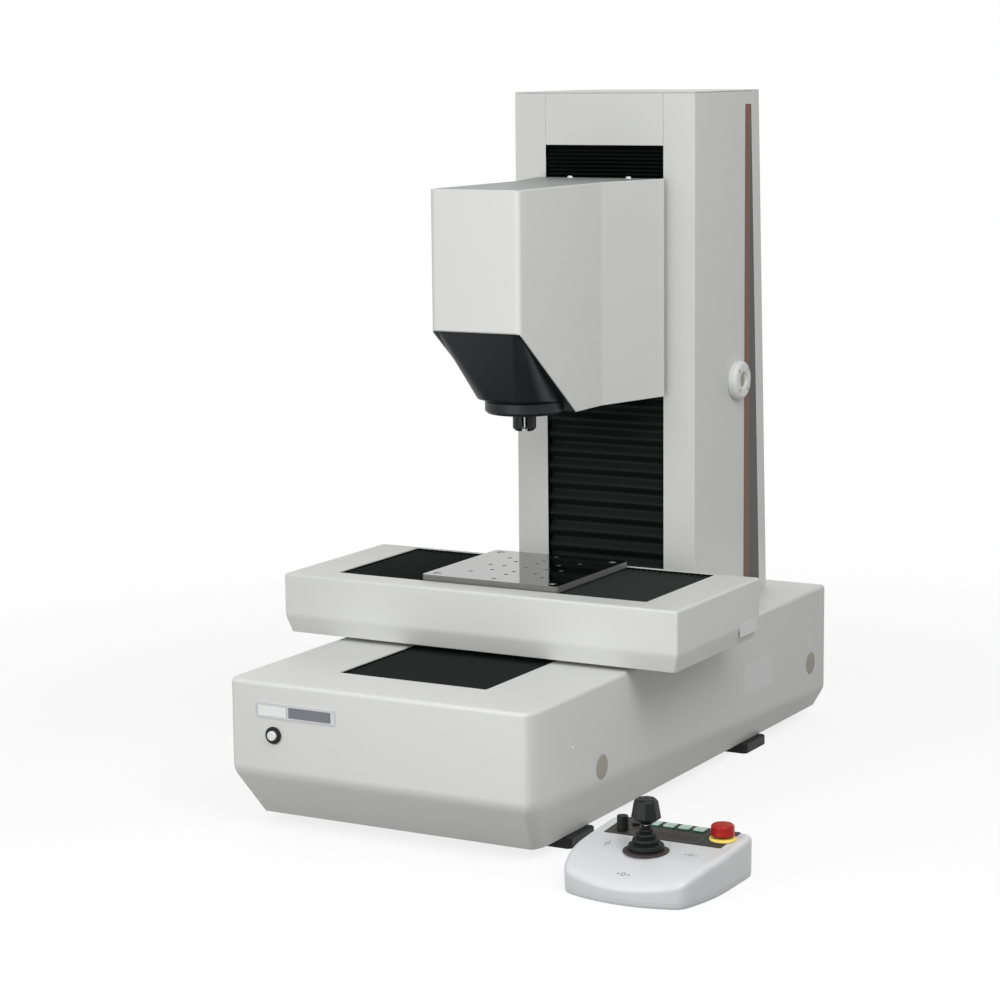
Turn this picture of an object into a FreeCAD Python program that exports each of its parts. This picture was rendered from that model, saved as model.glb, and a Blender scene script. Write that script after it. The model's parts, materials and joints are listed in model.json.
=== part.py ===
"""Motorised hardness tester: bed, column, test head, travelling table and control box.

Sizes are in millimetres. The machine is drawn about its own datum: x = 0 on the plane of
symmetry, y = 0 on the front face of the bed cover, z = 0 at the lower edge of that cover.
Every piece is then placed so that the origin lies under the middle of the whole set, on the
surface that it stands on.
"""
import FreeCAD, Part
import math
import os
import re
import Sketcher

V = FreeCAD.Vector

SIZES = {
    # bed cover, with its splayed skirt
    "base_width": 600, "base_depth": 1250, "base_top": 249.4, "skirt_height": 87,
    "skirt_rear_height": 38, "skirt_front_inset": 62.4, "skirt_side_inset": 21.1,
    "skirt_rear_inset": 5, "base_corner_radius": 30, "base_rear_radius": 8, "base_edge": 4,
    "cover_wall": 4,
    "opening_width": 296, "opening_front": 124, "opening_depth": 726,
    # feet, plugs, bare nameplate, power button, mains inlet
    "foot_length": 94, "foot_width": 64, "foot_height": 19, "foot_spread": 587.2,
    "foot_front": 151, "foot_pitch": 725, "foot_corner": 6,
    "plug_diameter": 45, "plug_front": 257, "plug_rear": 76, "plug_height": 102,
    "plug_stand": 1.2, "plug_depth": 5,
    "plate_left": -239, "plate_width": 162, "plate_bottom": 187, "plate_height": 27,
    "plate_thickness": 1.6, "plate_frame": 2.2,
    "power_offset": -203, "power_height": 158, "bezel_diameter": 30, "bezel_stand": 5,
    "power_cap_diameter": 17, "power_cap_stand": 5, "power_cap_length": 21,
    "inlet_offset": -185, "inlet_height": 130, "inlet_plate_width": 62,
    "inlet_plate_height": 52, "inlet_plate_thickness": 3, "inlet_body_depth": 26,
    "socket_width": 27, "socket_height": 19, "socket_depth": 16, "pin_width": 4,
    "pin_length": 12, "pin_spacing": 7, "socket_wall": 6,
    # cast bed, rails and carriages
    "casting_width": 500, "casting_front": 90, "casting_rear": 1200, "casting_top": 190,
    "trough_width": 120, "trough_floor": 120, "trough_length": 760, "casting_web": 12,
    "casting_cells": 5,
    "rail_width": 20, "rail_height": 16, "rail_spread": 220, "y_rail_front": 110,
    "y_rail_length": 745, "carriage_width": 46, "carriage_length": 62,
    "carriage_height": 22, "carriage_lift": 4, "slide_clearance": 0.3,
    "screw_diameter": 25, "screw_height": 160, "motor_size": 80, "motor_length": 85,
    "motor_corner": 8, "motor_gap": 4, "nut_width": 56, "nut_length": 60, "nut_depth": 25,
    # travelling stage
    "stage_width": 806, "stage_front": 340.8, "stage_depth": 348.8, "stage_top": 367.8,
    "stage_skirt": 289, "stage_bottom": 256.9, "stage_skirt_inset": 9,
    "stage_corner_radius": 4, "stage_wall": 3,
    "stage_opening_width": 636, "stage_opening_front": 393, "stage_opening_depth": 290,
    "saddle_width": 280, "saddle_depth": 240, "saddle_setback": 17, "saddle_beam_width": 770,
    "saddle_beam_depth": 200, "saddle_beam_height": 22, "x_rail_spread": 150,
    "x_rail_length": 750, "x_screw_diameter": 20, "x_screw_lift": 14, "x_nut_width": 50,
    "x_nut_wall": 8, "x_nut_floor": 2,
    "x_motor_size": 58, "x_motor_length": 70, "bearing_thickness": 9,
    # table
    "table_size": 280, "table_thickness": 11.5, "table_bottom": 367, "table_centre": 537,
    "table_corner": 4, "pedestal_width": 260, "pedestal_depth": 274,
    "tapped_diameter": 8.5, "inner_grid": 45, "outer_grid": 74, "far_hole": 120,
    "screw_grid": 119, "screw_bore": 9, "screw_counterbore": 15, "counterbore_depth": 9,
    # column
    "column_width": 382.8, "column_front": 858.9, "column_top": 1241.4,
    "column_sheet": 2.5, "column_opening_width": 250.6, "column_opening_top": 1140.8,
    "side_rear_top": 1115, "side_rear_bottom": 1165, "hood_rear_top": 1151,
    "hood_rear_bottom": 1199, "column_casting_width": 300, "column_casting_front": 925,
    "column_casting_depth": 150, "casting_top_gap": 71.4, "column_recess_width": 120,
    "column_recess_depth": 78, "column_recess_bottom": 210, "column_recess_top": 1150,
    "column_cells": 4,
    "z_rail_spread": 190, "z_rail_bottom": 280, "z_rail_length": 860,
    "z_screw_diameter": 32, "z_screw_setback": 32, "z_screw_gap": 3, "z_motor_size": 84,
    "z_motor_height": 60, "hood_lap": 4, "cap_diameter": 75, "cap_height": 682,
    "cap_offset": 1046, "cap_stand": 18, "cap_dish": 4, "cap_centre_diameter": 30,
    "cap_slot_width": 5, "cap_slot_length": 9, "cap_slots": 4,
    # head
    "head_width": 180.8, "head_rear_width": 270, "head_front": 358.7, "head_bend": 671,
    "head_rear": 843, "head_top": 1080, "head_bottom": 669, "head_front_bottom": 830.5,
    "head_cut_rear": 570, "pan_setback": 4, "head_sheet": 2.5, "head_edge_radius": 6,
    "neck_width": 236, "neck_bottom": 690, "neck_top": 1066, "neck_plate": 22,
    "back_plate": 5, "back_plate_width": 261, "beam_width": 120, "beam_front": 470,
    "beam_height": 150, "beam_drop": 0.5, "z_nut_gap": 4, "z_nut_width": 70,
    "z_nut_bottom": 800, "z_nut_height": 80,
    "housing_diameter": 90, "housing_bottom": 700, "spindle_diameter": 36,
    "spindle_end_diameter": 20, "spindle_shoulder": 706, "spindle_bottom": 660,
    "actuator_diameter": 88, "actuator_height": 72,
    # nose, guard and indenter
    "nose_width": 175, "nose_front_gap": 2.6, "nose_depth": 259, "nose_radius": 32,
    "nose_bottom": 690, "nose_foot": 168, "nose_wall": 4,
    "collar_radius": 72, "collar_height": 20, "collar_edge": 5, "collar_bore": 25,
    "guard_diameter": 43, "guard_bore": 25, "guard_length": 33, "guard_base": 6,
    "guard_slot": 10, "guard_slots": 3, "guard_chamfer": 5, "indenter_diameter": 13,
    "indenter_tip": 633, "point_diameter": 6, "point_length": 8,
    # bellows
    "bellows_drop": 3.3, "bellows_fold": 12, "bellows_back": 4, "bellows_side_gap": 0.8,
    "end_gap": 0.3, "y_front_pleats": 15, "y_rear_pleats": 11, "x_pleats": 13,
    "z_upper_pleats": 10, "z_lower_pleats": 13, "lower_bellows_bottom": 251,
    # control box, drawn about the middle of its own front edge
    "control_offset": 500, "control_front": -89, "control_front_half": 106.5,
    "control_front_bow": 23, "control_half": 129.5, "control_side_bow": 126,
    "control_depth": 254, "control_front_height": 31, "control_mid_height": 59.3,
    "control_mid": 109, "control_rear_height": 69, "control_crown": 300,
    "control_corner_radius": 14, "control_spare": 5,
    "panel_half": 106, "panel_front": 167, "panel_length": 82, "panel_thickness": 2,
    "button_pitch": 27.3, "button_row": 230, "button_size": 20, "button_stand": 5,
    "button_length": 14, "button_well": 20, "button_corner": 1.5, "mode_offset": -70, "mode_row": 217,
    "mode_diameter": 13, "dial_offset": -80, "dial_row": 186, "dial_diameter": 19,
    "dial_height": 26, "dial_shaft": 6, "dial_shaft_length": 12,
    "stop_offset": 92, "stop_row": 206, "stop_head_diameter": 40, "stop_head_height": 19,
    "stop_collar_diameter": 45, "stop_collar_height": 3, "stop_travel": 4,
    "stop_stem_diameter": 14, "stop_stem_length": 18,
    # joystick, about its pivot
    "stick_offset": -1, "stick_row": 113, "flange_diameter": 77, "flange_bottom": 57,
    "flange_thickness": 5, "stick_pivot": 40, "stick_diameter": 10, "stick_foot": 6,
    "stick_well_diameter": 44, "stick_well_floor": 22, "gimbal_outer": 30,
    "gimbal_inner": 22, "gimbal_height": 8, "trunnion_diameter": 4, "boot_rings": 4,
    "boot_neck_diameter": 21, "boot_base_diameter": 60, "boot_height": 40, "boot_shoulder": 10,
    "grip_bottom": 104, "grip_height": 43, "grip_diameter": 46, "grip_top_diameter": 37,
    "grip_foot_diameter": 18, "grip_belt": 11, "grip_sides": 8, "grip_crown": 4,
}

doc = FreeCAD.newDocument("HardnessTester")
sheet = doc.addObject("Spreadsheet::Sheet", "Sizes")
for row, (alias, size) in enumerate(SIZES.items(), 1):
    sheet.set(f"A{row}", str(size))
    sheet.setAlias(f"A{row}", alias)
doc.recompute()

# Where the datum of the machine lies from the middle of the whole set.
DATUM = (
    "-(control_offset + control_half - stage_width / 2) / 2",
    "-(base_depth + control_front) / 2",
    "foot_height",
)
CONTROL = ("control_offset", "control_front", "-foot_height")
UPRIGHT = FreeCAD.Rotation()
TO_FRONT = FreeCAD.Rotation(V(1, 0, 0), 90)
TO_RIGHT = FreeCAD.Rotation(V(0, 1, 0), 90)
PLANES = {"xy": "XY_Plane", "xz": "XZ_Plane", "yz": "YZ_Plane"}
pieces = []


def bound(text):
    """The expression with each size pointing at its cell."""
    return re.sub(r"[A-Za-z_]\w*", lambda m: "Sizes." + m[0] if m[0] in SIZES else m[0], str(text))


def value(text):
    """The present number of an expression."""
    return float(sheet.evalExpression(bound(text)))


def arc_between(start, end, radius):
    """The arc that bulges to the right on the way from start to end, or to the left below zero."""
    chord = end - start
    half = chord.Length / 2
    sagitta = abs(radius) - math.sqrt(radius * radius - half * half)
    crown = (start + end) * 0.5 + V(chord.y, -chord.x, 0).normalize() * math.copysign(sagitta, radius)
    return Part.Arc(start, crown, end) if radius > 0 else Part.Arc(end, crown, start)


class Piece:
    """One body of the document, drawn with sketches whose sizes are cells of the sheet."""

    def __init__(self, name, at=("0", "0", "0"), turn=UPRIGHT):
        self.name = name
        self.body = doc.addObject("PartDesign::Body", name)
        self.body.Label = name
        self.body.AllowCompound = True
        self.body.Placement = FreeCAD.Placement(V(), turn)
        for axis, place, shift in zip("xyz", at, DATUM):
            self.body.setExpression(f"Placement.Base.{axis}", bound(f"({place}) + ({shift})"))
        self.count = 0
        pieces.append(self)

    def origin(self, role):
        return [f for f in self.body.Origin.OriginFeatures if f.Role == role][0]

    def hold(self, sketch, kind, first, second, text):
        """A signed distance from the datum point of the sketch, kept by an expression."""
        row = sketch.addConstraint(Sketcher.Constraint(kind, -1, 1, first, second, value(text)))
        sketch.setExpression(f"Constraints[{row}]", bound(text))

    def sketch(self, plane, wires, start="0"):
        self.count += 1
        sketch = self.body.newObject("Sketcher::SketchObject", f"{self.name}_outline_{self.count}")
        sketch.AttachmentSupport = [(self.origin(PLANES[plane]), "")]
        sketch.MapMode = "FlatFace"
        sign = "-" if plane == "xz" else ""
        sketch.setExpression("AttachmentOffset.Base.z", bound(f"{sign}({start})"))
        for wire in wires:
            if wire[0] == "circle":
                self.add_circle(sketch, *wire[1:])
            elif wire[0] == "rounded":
                self.add_rounded(sketch, *wire[1:])
            else:
                self.add_outline(sketch, wire)
        return sketch

    def add_circle(self, sketch, across, up, radius):
        centre = V(value(across), value(up), 0)
        row = sketch.addGeometry(Part.Circle(centre, V(0, 0, 1), value(radius)), False)
        self.hold(sketch, "DistanceX", row, 3, across)
        self.hold(sketch, "DistanceY", row, 3, up)
        size = sketch.addConstraint(Sketcher.Constraint("Radius", row, value(radius)))
        sketch.setExpression(f"Constraints[{size}]", bound(radius))

    def add_outline(self, sketch, points):
        """Corners joined by lines, or by an arc where the corner gives a third value, its radius."""
        places = [V(value(p[0]), value(p[1]), 0) for p in points]
        first = len(sketch.Geometry)
        count = len(points)
        ends = []
        for i, point in enumerate(points):
            here, there = places[i], places[(i + 1) % count]
            if len(point) == 3:
                radius = value(point[2])
                sketch.addGeometry(arc_between(here, there, radius), False)
                ends.append((1, 2) if radius > 0 else (2, 1))
            else:
                sketch.addGeometry(Part.LineSegment(here, there), False)
                ends.append((1, 2))
        for i in range(count):
            following = (i + 1) % count
            sketch.addConstraint(Sketcher.Constraint(
                "Coincident", first + i, ends[i][1], first + following, ends[following][0]))
        for i, point in enumerate(points):
            self.hold(sketch, "DistanceX", first + i, ends[i][0], point[0])
            self.hold(sketch, "DistanceY", first + i, ends[i][0], point[1])
            if len(point) == 3:
                size = f"abs({point[2]})"
                row = sketch.addConstraint(Sketcher.Constraint("Radius", first + i, value(size)))
                sketch.setExpression(f"Constraints[{row}]", bound(size))

    def add_rounded(self, sketch, left, right, low, high, radius):
        """A rectangle with four equal round corners."""
        x0, x1, y0, y1, r = (value(t) for t in (left, right, low, high, radius))
        first = len(sketch.Geometry)
        corners = [(x1 - r, y0 + r, -90), (x1 - r, y1 - r, 0), (x0 + r, y1 - r, 90), (x0 + r, y0 + r, 180)]
        lines = [
            (V(x0 + r, y0, 0), V(x1 - r, y0, 0)), (V(x1, y0 + r, 0), V(x1, y1 - r, 0)),
            (V(x1 - r, y1, 0), V(x0 + r, y1, 0)), (V(x0, y1 - r, 0), V(x0, y0 + r, 0)),
        ]
        for (a, b), (cx, cy, start) in zip(lines, corners):
            sketch.addGeometry(Part.LineSegment(a, b), False)
            circle = Part.Circle(V(cx, cy, 0), V(0, 0, 1), r)
            begin = math.radians(start)
            sketch.addGeometry(Part.ArcOfCircle(circle, begin, begin + math.pi / 2), False)
        for i in range(4):
            line, arc = first + 2 * i, first + 2 * i + 1
            following = first + (2 * i + 2) % 8
            sketch.addConstraint(Sketcher.Constraint("Tangent", line, 2, arc, 1))
            sketch.addConstraint(Sketcher.Constraint("Tangent", arc, 2, following, 1))
            kind = "Horizontal" if i % 2 == 0 else "Vertical"
            sketch.addConstraint(Sketcher.Constraint(kind, line))
            if i:
                sketch.addConstraint(Sketcher.Constraint("Equal", first + 1, arc))
        row = sketch.addConstraint(Sketcher.Constraint("Radius", first + 1, r))
        sketch.setExpression(f"Constraints[{row}]", bound(radius))
        self.hold(sketch, "DistanceY", first, 1, low)
        self.hold(sketch, "DistanceX", first + 2, 1, right)
        self.hold(sketch, "DistanceY", first + 4, 1, high)
        self.hold(sketch, "DistanceX", first + 6, 1, left)

    def feature(self, kind):
        self.count += 1
        return self.body.newObject(f"PartDesign::{kind}", f"{self.name}_{kind.lower()}_{self.count}")

    def pad(self, plane, start, end, *wires):
        """Material from start to end along the axis that the plane faces."""
        sketch = self.sketch(plane, wires, start)
        feature = self.feature("Pad")
        feature.Profile = sketch
        feature.Reversed = plane == "xz"
        feature.setExpression("Length", bound(f"({end}) - ({start})"))
        return self

    def cut(self, plane, start, end, *wires):
        """The same space taken away."""
        sketch = self.sketch(plane, wires, start)
        feature = self.feature("Pocket")
        feature.Profile = sketch
        feature.Reversed = plane != "xz"
        feature.setExpression("Length", bound(f"({end}) - ({start})"))
        return self

    def turn(self, *points):
        """A profile of (radius, height) corners turned about the z axis."""
        sketch = self.sketch("xz", [points])
        feature = self.feature("Revolution")
        feature.Profile = sketch
        feature.ReferenceAxis = (self.origin("Z_Axis"), [""])
        feature.Angle = 360
        return self

    def loft(self, kind, *sections):
        """A ruled skin between outlines, each given as (height, wire)."""
        sketches = [self.sketch("xy", [wire], height) for height, wire in sections]
        feature = self.feature(kind)
        feature.Profile = sketches[0]
        feature.Sections = sketches[1:]
        feature.Ruled = True
        return self

    def skirt(self, foot, waist, fall, height):
        """A ruled skin up to a waist that leans back by an angle, and upright walls above it."""
        waist.AttachmentOffset = FreeCAD.Placement(V(), FreeCAD.Rotation(V(1, 0, 0), -value(fall)))
        waist.setExpression("AttachmentOffset.Rotation.Angle", bound(f"-({fall})"))
        skin = self.feature("AdditiveLoft")
        skin.Profile = foot
        skin.Sections = [waist]
        skin.Ruled = True
        walls = self.feature("Pad")
        walls.Profile = waist
        walls.ReferenceAxis = (self.origin("Z_Axis"), [""])
        walls.AlongSketchNormal = False
        walls.setExpression("Length", bound(height))

    def around(self, count):
        """The last feature repeated evenly about the z axis."""
        original = self.body.Tip
        feature = self.feature("PolarPattern")
        feature.Originals = [original]
        feature.Axis = (self.origin("Z_Axis"), [""])
        feature.Angle = 360
        feature.Occurrences = int(value(count))
        self.body.Tip = feature
        return self

    def soften(self, kind, size, wanted):
        """Fillet or chamfer on the edges that the test picks."""
        doc.recompute()
        base = self.body.Tip
        names = [f"Edge{i}" for i, edge in enumerate(base.Shape.Edges, 1) if wanted(edge)]
        feature = self.feature(kind)
        feature.Base = (base, names)
        feature.setExpression("Radius" if kind == "Fillet" else "Size", bound(size))
        return self


def box(left, right, low, high):
    """The four corners of an upright rectangle."""
    return [(left, low), (right, low), (right, high), (left, high)]


def faceted(left, right, low, high, corner):
    """A rectangle whose corners are cut off by flats, the same length along both sides."""
    return [(f"{right} - ({corner})", low), (right, f"{low} + {corner}"), (right, f"{high} - ({corner})"),
            (f"{right} - ({corner})", high), (f"{left} + {corner}", high), (left, f"{high} - ({corner})"),
            (left, f"{low} + {corner}"), (f"{left} + {corner}", low)]


def ends_rounded(half, front, rear, front_radius, rear_radius):
    """A plan about the y axis with one corner radius in front and another behind."""
    near, far = f"{front} + {front_radius}", f"{rear} - {rear_radius}"
    return [(f"-{half} + {front_radius}", front), (f"{half} - {front_radius}", front, front_radius),
            (half, near), (half, far, rear_radius), (f"{half} - {rear_radius}", rear),
            (f"-{half} + {rear_radius}", rear, rear_radius), (f"-{half}", far),
            (f"-{half}", near, front_radius)]


def upright(edge):
    """Whether an edge runs straight up."""
    a, b = edge.Vertexes[0].Point, edge.Vertexes[-1].Point
    return isinstance(edge.Curve, Part.Line) and math.hypot(a.x - b.x, a.y - b.y) < 1e-6


def steep(edge):
    """Whether an edge is straight and climbs, upright or leaning."""
    a, b = edge.Vertexes[0].Point, edge.Vertexes[-1].Point
    return isinstance(edge.Curve, Part.Line) and abs(a.z - b.z) > 1


def level_at(height):
    """A test for edges that lie at one height."""
    return lambda edge: (abs(edge.BoundBox.ZMin - value(height)) < 1e-4
                         and abs(edge.BoundBox.ZMax - value(height)) < 1e-4)


def pleated(start, end, crest, valley, back, count):
    """Outline of a pleated sheet: folds along the first axis, crest and valley on the second."""
    step = f"(({end}) - ({start})) / {2 * count}"
    folds = [(f"({start}) + {i} * {step}", crest if i % 2 else valley) for i in range(2 * count + 1)]
    return folds + [(end, back), (start, back)]


def swapped(points):
    return [(b, a) for a, b in points]


def sides_of(side, outer, inner):
    """Two distances from the middle, on one side of it, in rising order."""
    return sorted((f"{side} * ({outer})", f"{side} * ({inner})"), key=value)


# Bed: cover, casting and what is fixed on them.

HALF = "base_width / 2"
FALL = "atan((skirt_height - skirt_rear_height) / base_depth)"
RAIL_HALF = "rail_width / 2"
SADDLE_FRONT = "table_centre - saddle_setback - saddle_depth / 2"
SADDLE_REAR = "table_centre - saddle_setback + saddle_depth / 2"
CARRIAGE_TOP = "casting_top + carriage_lift + carriage_height"
STAGE_FLOOR = "stage_bottom + stage_wall"


def bed_cover():
    piece = Piece("base_cover")
    foot = ends_rounded(f"({HALF} - skirt_side_inset)", "skirt_front_inset", "base_depth - skirt_rear_inset",
                        "base_corner_radius", "base_rear_radius")
    waist = ends_rounded(f"({HALF})", "0", f"base_depth / cos({FALL})", "base_corner_radius",
                         "base_rear_radius")
    piece.skirt(piece.sketch("xy", [foot]), piece.sketch("xy", [waist], "skirt_height"), FALL, "base_top")
    piece.cut("xy", "base_top", "2 * base_top", box(f"-{HALF} - 1", f"{HALF} + 1", "-1", "base_depth + 1"))
    piece.soften("Chamfer", "base_edge", level_at("base_top"))
    inner = f"{HALF} - cover_wall"
    inner_radius = "base_corner_radius - cover_wall"
    inner_foot = faceted(f"-({inner} - skirt_side_inset)", f"{inner} - skirt_side_inset",
                         "skirt_front_inset + cover_wall",
                         "base_depth - skirt_rear_inset - cover_wall", inner_radius)
    inner_waist = faceted(f"-({inner})", inner, "cover_wall", "base_depth - cover_wall", inner_radius)
    piece.loft("SubtractiveLoft", ("0", inner_foot), ("skirt_height", inner_waist))
    piece.cut("xy", "skirt_height", "base_top - cover_wall", inner_waist)
    piece.cut("xy", "base_top - 2 * cover_wall", "base_top + 1",
              box("-opening_width / 2", "opening_width / 2", "opening_front",
                  "opening_front + opening_depth"),
              box("-column_casting_width / 2 - cover_wall / 2", "column_casting_width / 2 + cover_wall / 2",
                  "column_casting_front - cover_wall / 2",
                  "column_casting_front + column_casting_depth + cover_wall / 2"))
    plug = ["circle", "plug_front", "plug_height", "plug_diameter / 2 + slide_clearance"]
    far = ["circle", "base_depth - plug_rear", "plug_height", "plug_diameter / 2 + slide_clearance"]
    piece.cut("yz", f"-{HALF} - 1", f"{HALF} + 1", plug, far)
    piece.cut("xz", "-1", "2 * cover_wall",
              ["circle", "power_offset", "power_height", "power_cap_diameter / 2 + slide_clearance"])
    piece.cut("xz", "base_depth - 2 * cover_wall", "base_depth + 1",
              box("inlet_offset - inlet_plate_width / 2", "inlet_offset + inlet_plate_width / 2",
                  "inlet_height - inlet_plate_height / 2", "inlet_height + inlet_plate_height / 2"))


def bed_casting():
    piece = Piece("base_casting")
    half, trough = "casting_width / 2", "trough_width / 2"
    piece.pad("xy", "0", "casting_top", box(f"-{half}", half, "casting_front", "casting_rear"))
    piece.cut("xy", "trough_floor", "casting_top + 1",
              box(f"-{trough}", trough, "casting_front", "casting_front + trough_length"))
    cells = int(value("casting_cells"))
    pitch = f"(casting_rear - casting_front - casting_web) / {cells}"
    outer, inner = [], []
    for i in range(cells):
        near = f"casting_front + casting_web + {i} * {pitch}"
        far = f"casting_front + {i + 1} * {pitch}"
        outer.append(box(f"{trough} + casting_web", f"{half} - casting_web", near, far))
        outer.append(box(f"-{half} + casting_web", f"-{trough} - casting_web", near, far))
        inner.append(box(f"-{trough}", trough, near, far))
    piece.cut("xy", "-1", "casting_top - casting_web", *outer)
    piece.cut("xy", "-1", "trough_floor - casting_web", *inner)


def feet():
    piece = Piece("levelling_feet")
    pads = []
    for side in ("-1", "1"):
        for near in ("foot_front", "foot_front + foot_pitch"):
            ends = sides_of(side, "foot_spread / 2", "foot_spread / 2 - foot_width")
            pads.append(faceted(*ends, near, f"{near} + foot_length", "foot_corner"))
    piece.pad("xy", "-foot_height", "0", *pads)


def side_plugs():
    piece = Piece("cover_plugs")
    for side in ("-1", "1"):
        ends = sides_of(side, f"{HALF} + plug_stand", f"{HALF} - plug_depth")
        piece.pad("yz", *ends, ["circle", "plug_front", "plug_height", "plug_diameter / 2"],
                  ["circle", "base_depth - plug_rear", "plug_height", "plug_diameter / 2"])


def bare_nameplate():
    piece = Piece("nameplate", ("plate_left", "0", "plate_bottom"))
    piece.pad("xz", "-plate_thickness", "0", box("0", "plate_width", "0", "plate_height"))
    piece.cut("xz", "-plate_thickness", "-plate_thickness / 2",
              box("plate_frame", "plate_width - plate_frame", "plate_frame", "plate_height - plate_frame"))


def power_switch():
    place = ("power_offset", "0", "power_height")
    bezel = Piece("power_bezel", place, TO_FRONT)
    hole, rim = "power_cap_diameter / 2 + slide_clearance", "bezel_diameter / 2"
    bezel.turn((hole, "0"), (rim, "0"), (rim, "bezel_stand"), (hole, "bezel_stand"))
    cap = Piece("power_button", place, TO_FRONT)
    face, edge = "bezel_stand + power_cap_stand", "power_cap_diameter / 2"
    cap.turn(("0", f"{face} - power_cap_length"), (edge, f"{face} - power_cap_length"),
             (edge, face), ("0", face))


def mains_inlet():
    piece = Piece("mains_inlet", ("inlet_offset", "base_depth", "inlet_height"))
    back = "-inlet_plate_thickness - inlet_body_depth"
    piece.pad("xz", "-cover_wall", "-cover_wall + inlet_plate_thickness",
              box("-inlet_plate_width / 2", "inlet_plate_width / 2",
                  "-inlet_plate_height / 2", "inlet_plate_height / 2"))
    piece.pad("xz", back, "-cover_wall",
              box("-socket_width / 2 - socket_wall", "socket_width / 2 + socket_wall",
                  "-socket_height / 2 - socket_wall", "socket_height / 2 + socket_wall"))
    inside = "-cover_wall + inlet_plate_thickness - socket_depth"
    piece.cut("xz", inside, "1", box("-socket_width / 2", "socket_width / 2", "-socket_height / 2",
                                     "socket_height / 2"))
    pins = []
    for across, up in (("-pin_spacing", "0"), ("0", "pin_spacing / 2"), ("pin_spacing", "0")):
        pins.append(box(f"{across} - pin_width / 4", f"{across} + pin_width / 4",
                        f"{up} - pin_width / 2", f"{up} + pin_width / 2"))
    piece.pad("xz", inside, f"{inside} + pin_length", *pins)


def y_drive():
    rails = Piece("y_rails")
    rails.pad("xy", "casting_top", "casting_top + rail_height",
              *[box(f"{side} * rail_spread / 2 - {RAIL_HALF}", f"{side} * rail_spread / 2 + {RAIL_HALF}",
                    "y_rail_front", "y_rail_front + y_rail_length") for side in ("-1", "1")])
    motor = Piece("y_motor")
    start = "casting_front + motor_gap"
    motor.pad("xz", start, f"{start} + motor_length",
              faceted("-motor_size / 2", "motor_size / 2", "trough_floor", "trough_floor + motor_size",
                      "motor_corner"))
    screw = Piece("y_screw", ("0", f"{start} + motor_length + end_gap", "screw_height"),
                  FreeCAD.Rotation(V(1, 0, 0), -90))
    length = "trough_length - motor_gap - motor_length - 2 * end_gap"
    screw.turn(("0", "0"), ("screw_diameter / 2", "0"), ("screw_diameter / 2", length), ("0", length))


def bellows(name, axis, start, end, low, high, crest, fold, count):
    """A pleated cover: folds run across its width, and its crests face outwards."""
    piece = Piece(name)
    valley = f"{crest} {'-' if fold > 0 else '+'} bellows_fold"
    back = f"{valley} {'-' if fold > 0 else '+'} bellows_back"
    outline = pleated(start, end, crest, valley, back, int(value(count)))
    if axis == "z":
        outline = swapped(outline)
    piece.pad("xz" if axis == "x" else "yz", low, high, outline)


def y_bellows():
    half = "(opening_width / 2 - bellows_side_gap)"
    crest = "base_top - bellows_drop"
    bellows("y_bellows_front", "y", "opening_front + end_gap", f"{SADDLE_FRONT} - end_gap",
            f"-{half}", half, crest, 1, "y_front_pleats")
    bellows("y_bellows_rear", "y", f"{SADDLE_REAR} + end_gap",
            "opening_front + opening_depth - end_gap", f"-{half}", half, crest, 1, "y_rear_pleats")


# Column: casting, drive and sheet covers.

COLUMN_HALF = "column_width / 2"
OPENING_HALF = "column_opening_width / 2"
CASTING_TOP = "(column_top - casting_top_gap)"
RECESS_REAR = "column_casting_front + column_recess_depth"
Z_SCREW_Y = "column_casting_front + z_screw_setback"


def column_casting():
    piece = Piece("column_casting")
    front = "column_casting_front"
    piece.pad("xy", "casting_top", CASTING_TOP,
              box("-column_casting_width / 2", "column_casting_width / 2", front,
                  f"{front} + column_casting_depth"))
    piece.cut("xy", "column_recess_bottom", "column_recess_top",
              box("-column_recess_width / 2", "column_recess_width / 2", f"{front} - 1", RECESS_REAR))
    piece.cut("xy", "column_recess_top - 1", f"{CASTING_TOP} + 1",
              ("circle", "0", Z_SCREW_Y, "z_screw_diameter / 2 + z_screw_gap"))
    half, recess = "column_casting_width / 2 - casting_web", "column_recess_width / 2"
    cells = int(value("column_cells"))
    pitch = f"({CASTING_TOP} - casting_top - casting_web) / {cells}"
    middle, sides = [], []
    for i in range(cells):
        low, high = f"casting_top + casting_web + {i} * {pitch}", f"casting_top + {i + 1} * {pitch}"
        middle.append(box(f"-{recess}", recess, low, high))
        sides.append(box(f"{recess} + casting_web", half, low, high))
        sides.append(box(f"-({half})", f"-{recess} - casting_web", low, high))
    rear = f"{front} + column_casting_depth + 1"
    piece.cut("xz", f"{RECESS_REAR} + casting_web", rear, *middle)
    piece.cut("xz", f"{front} + casting_web", rear, *sides)


def z_drive():
    rails = Piece("z_rails")
    rails.pad("xy", "z_rail_bottom", "z_rail_bottom + z_rail_length",
              *[box(f"{side} * z_rail_spread / 2 - {RAIL_HALF}", f"{side} * z_rail_spread / 2 + {RAIL_HALF}",
                    "column_casting_front - rail_height", "column_casting_front") for side in ("-1", "1")])
    motor = Piece("z_motor", ("0", Z_SCREW_Y, CASTING_TOP))
    half = "z_motor_size / 2"
    motor.pad("xy", "0", "z_motor_height", faceted(f"-{half}", half, f"-{half}", half, "motor_corner"))
    screw = Piece("z_screw", ("0", Z_SCREW_Y, "column_recess_bottom + end_gap"))
    length = f"{CASTING_TOP} - column_recess_bottom - 2 * end_gap"
    screw.turn(("0", "0"), ("z_screw_diameter / 2", "0"), ("z_screw_diameter / 2", length), ("0", length))


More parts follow.
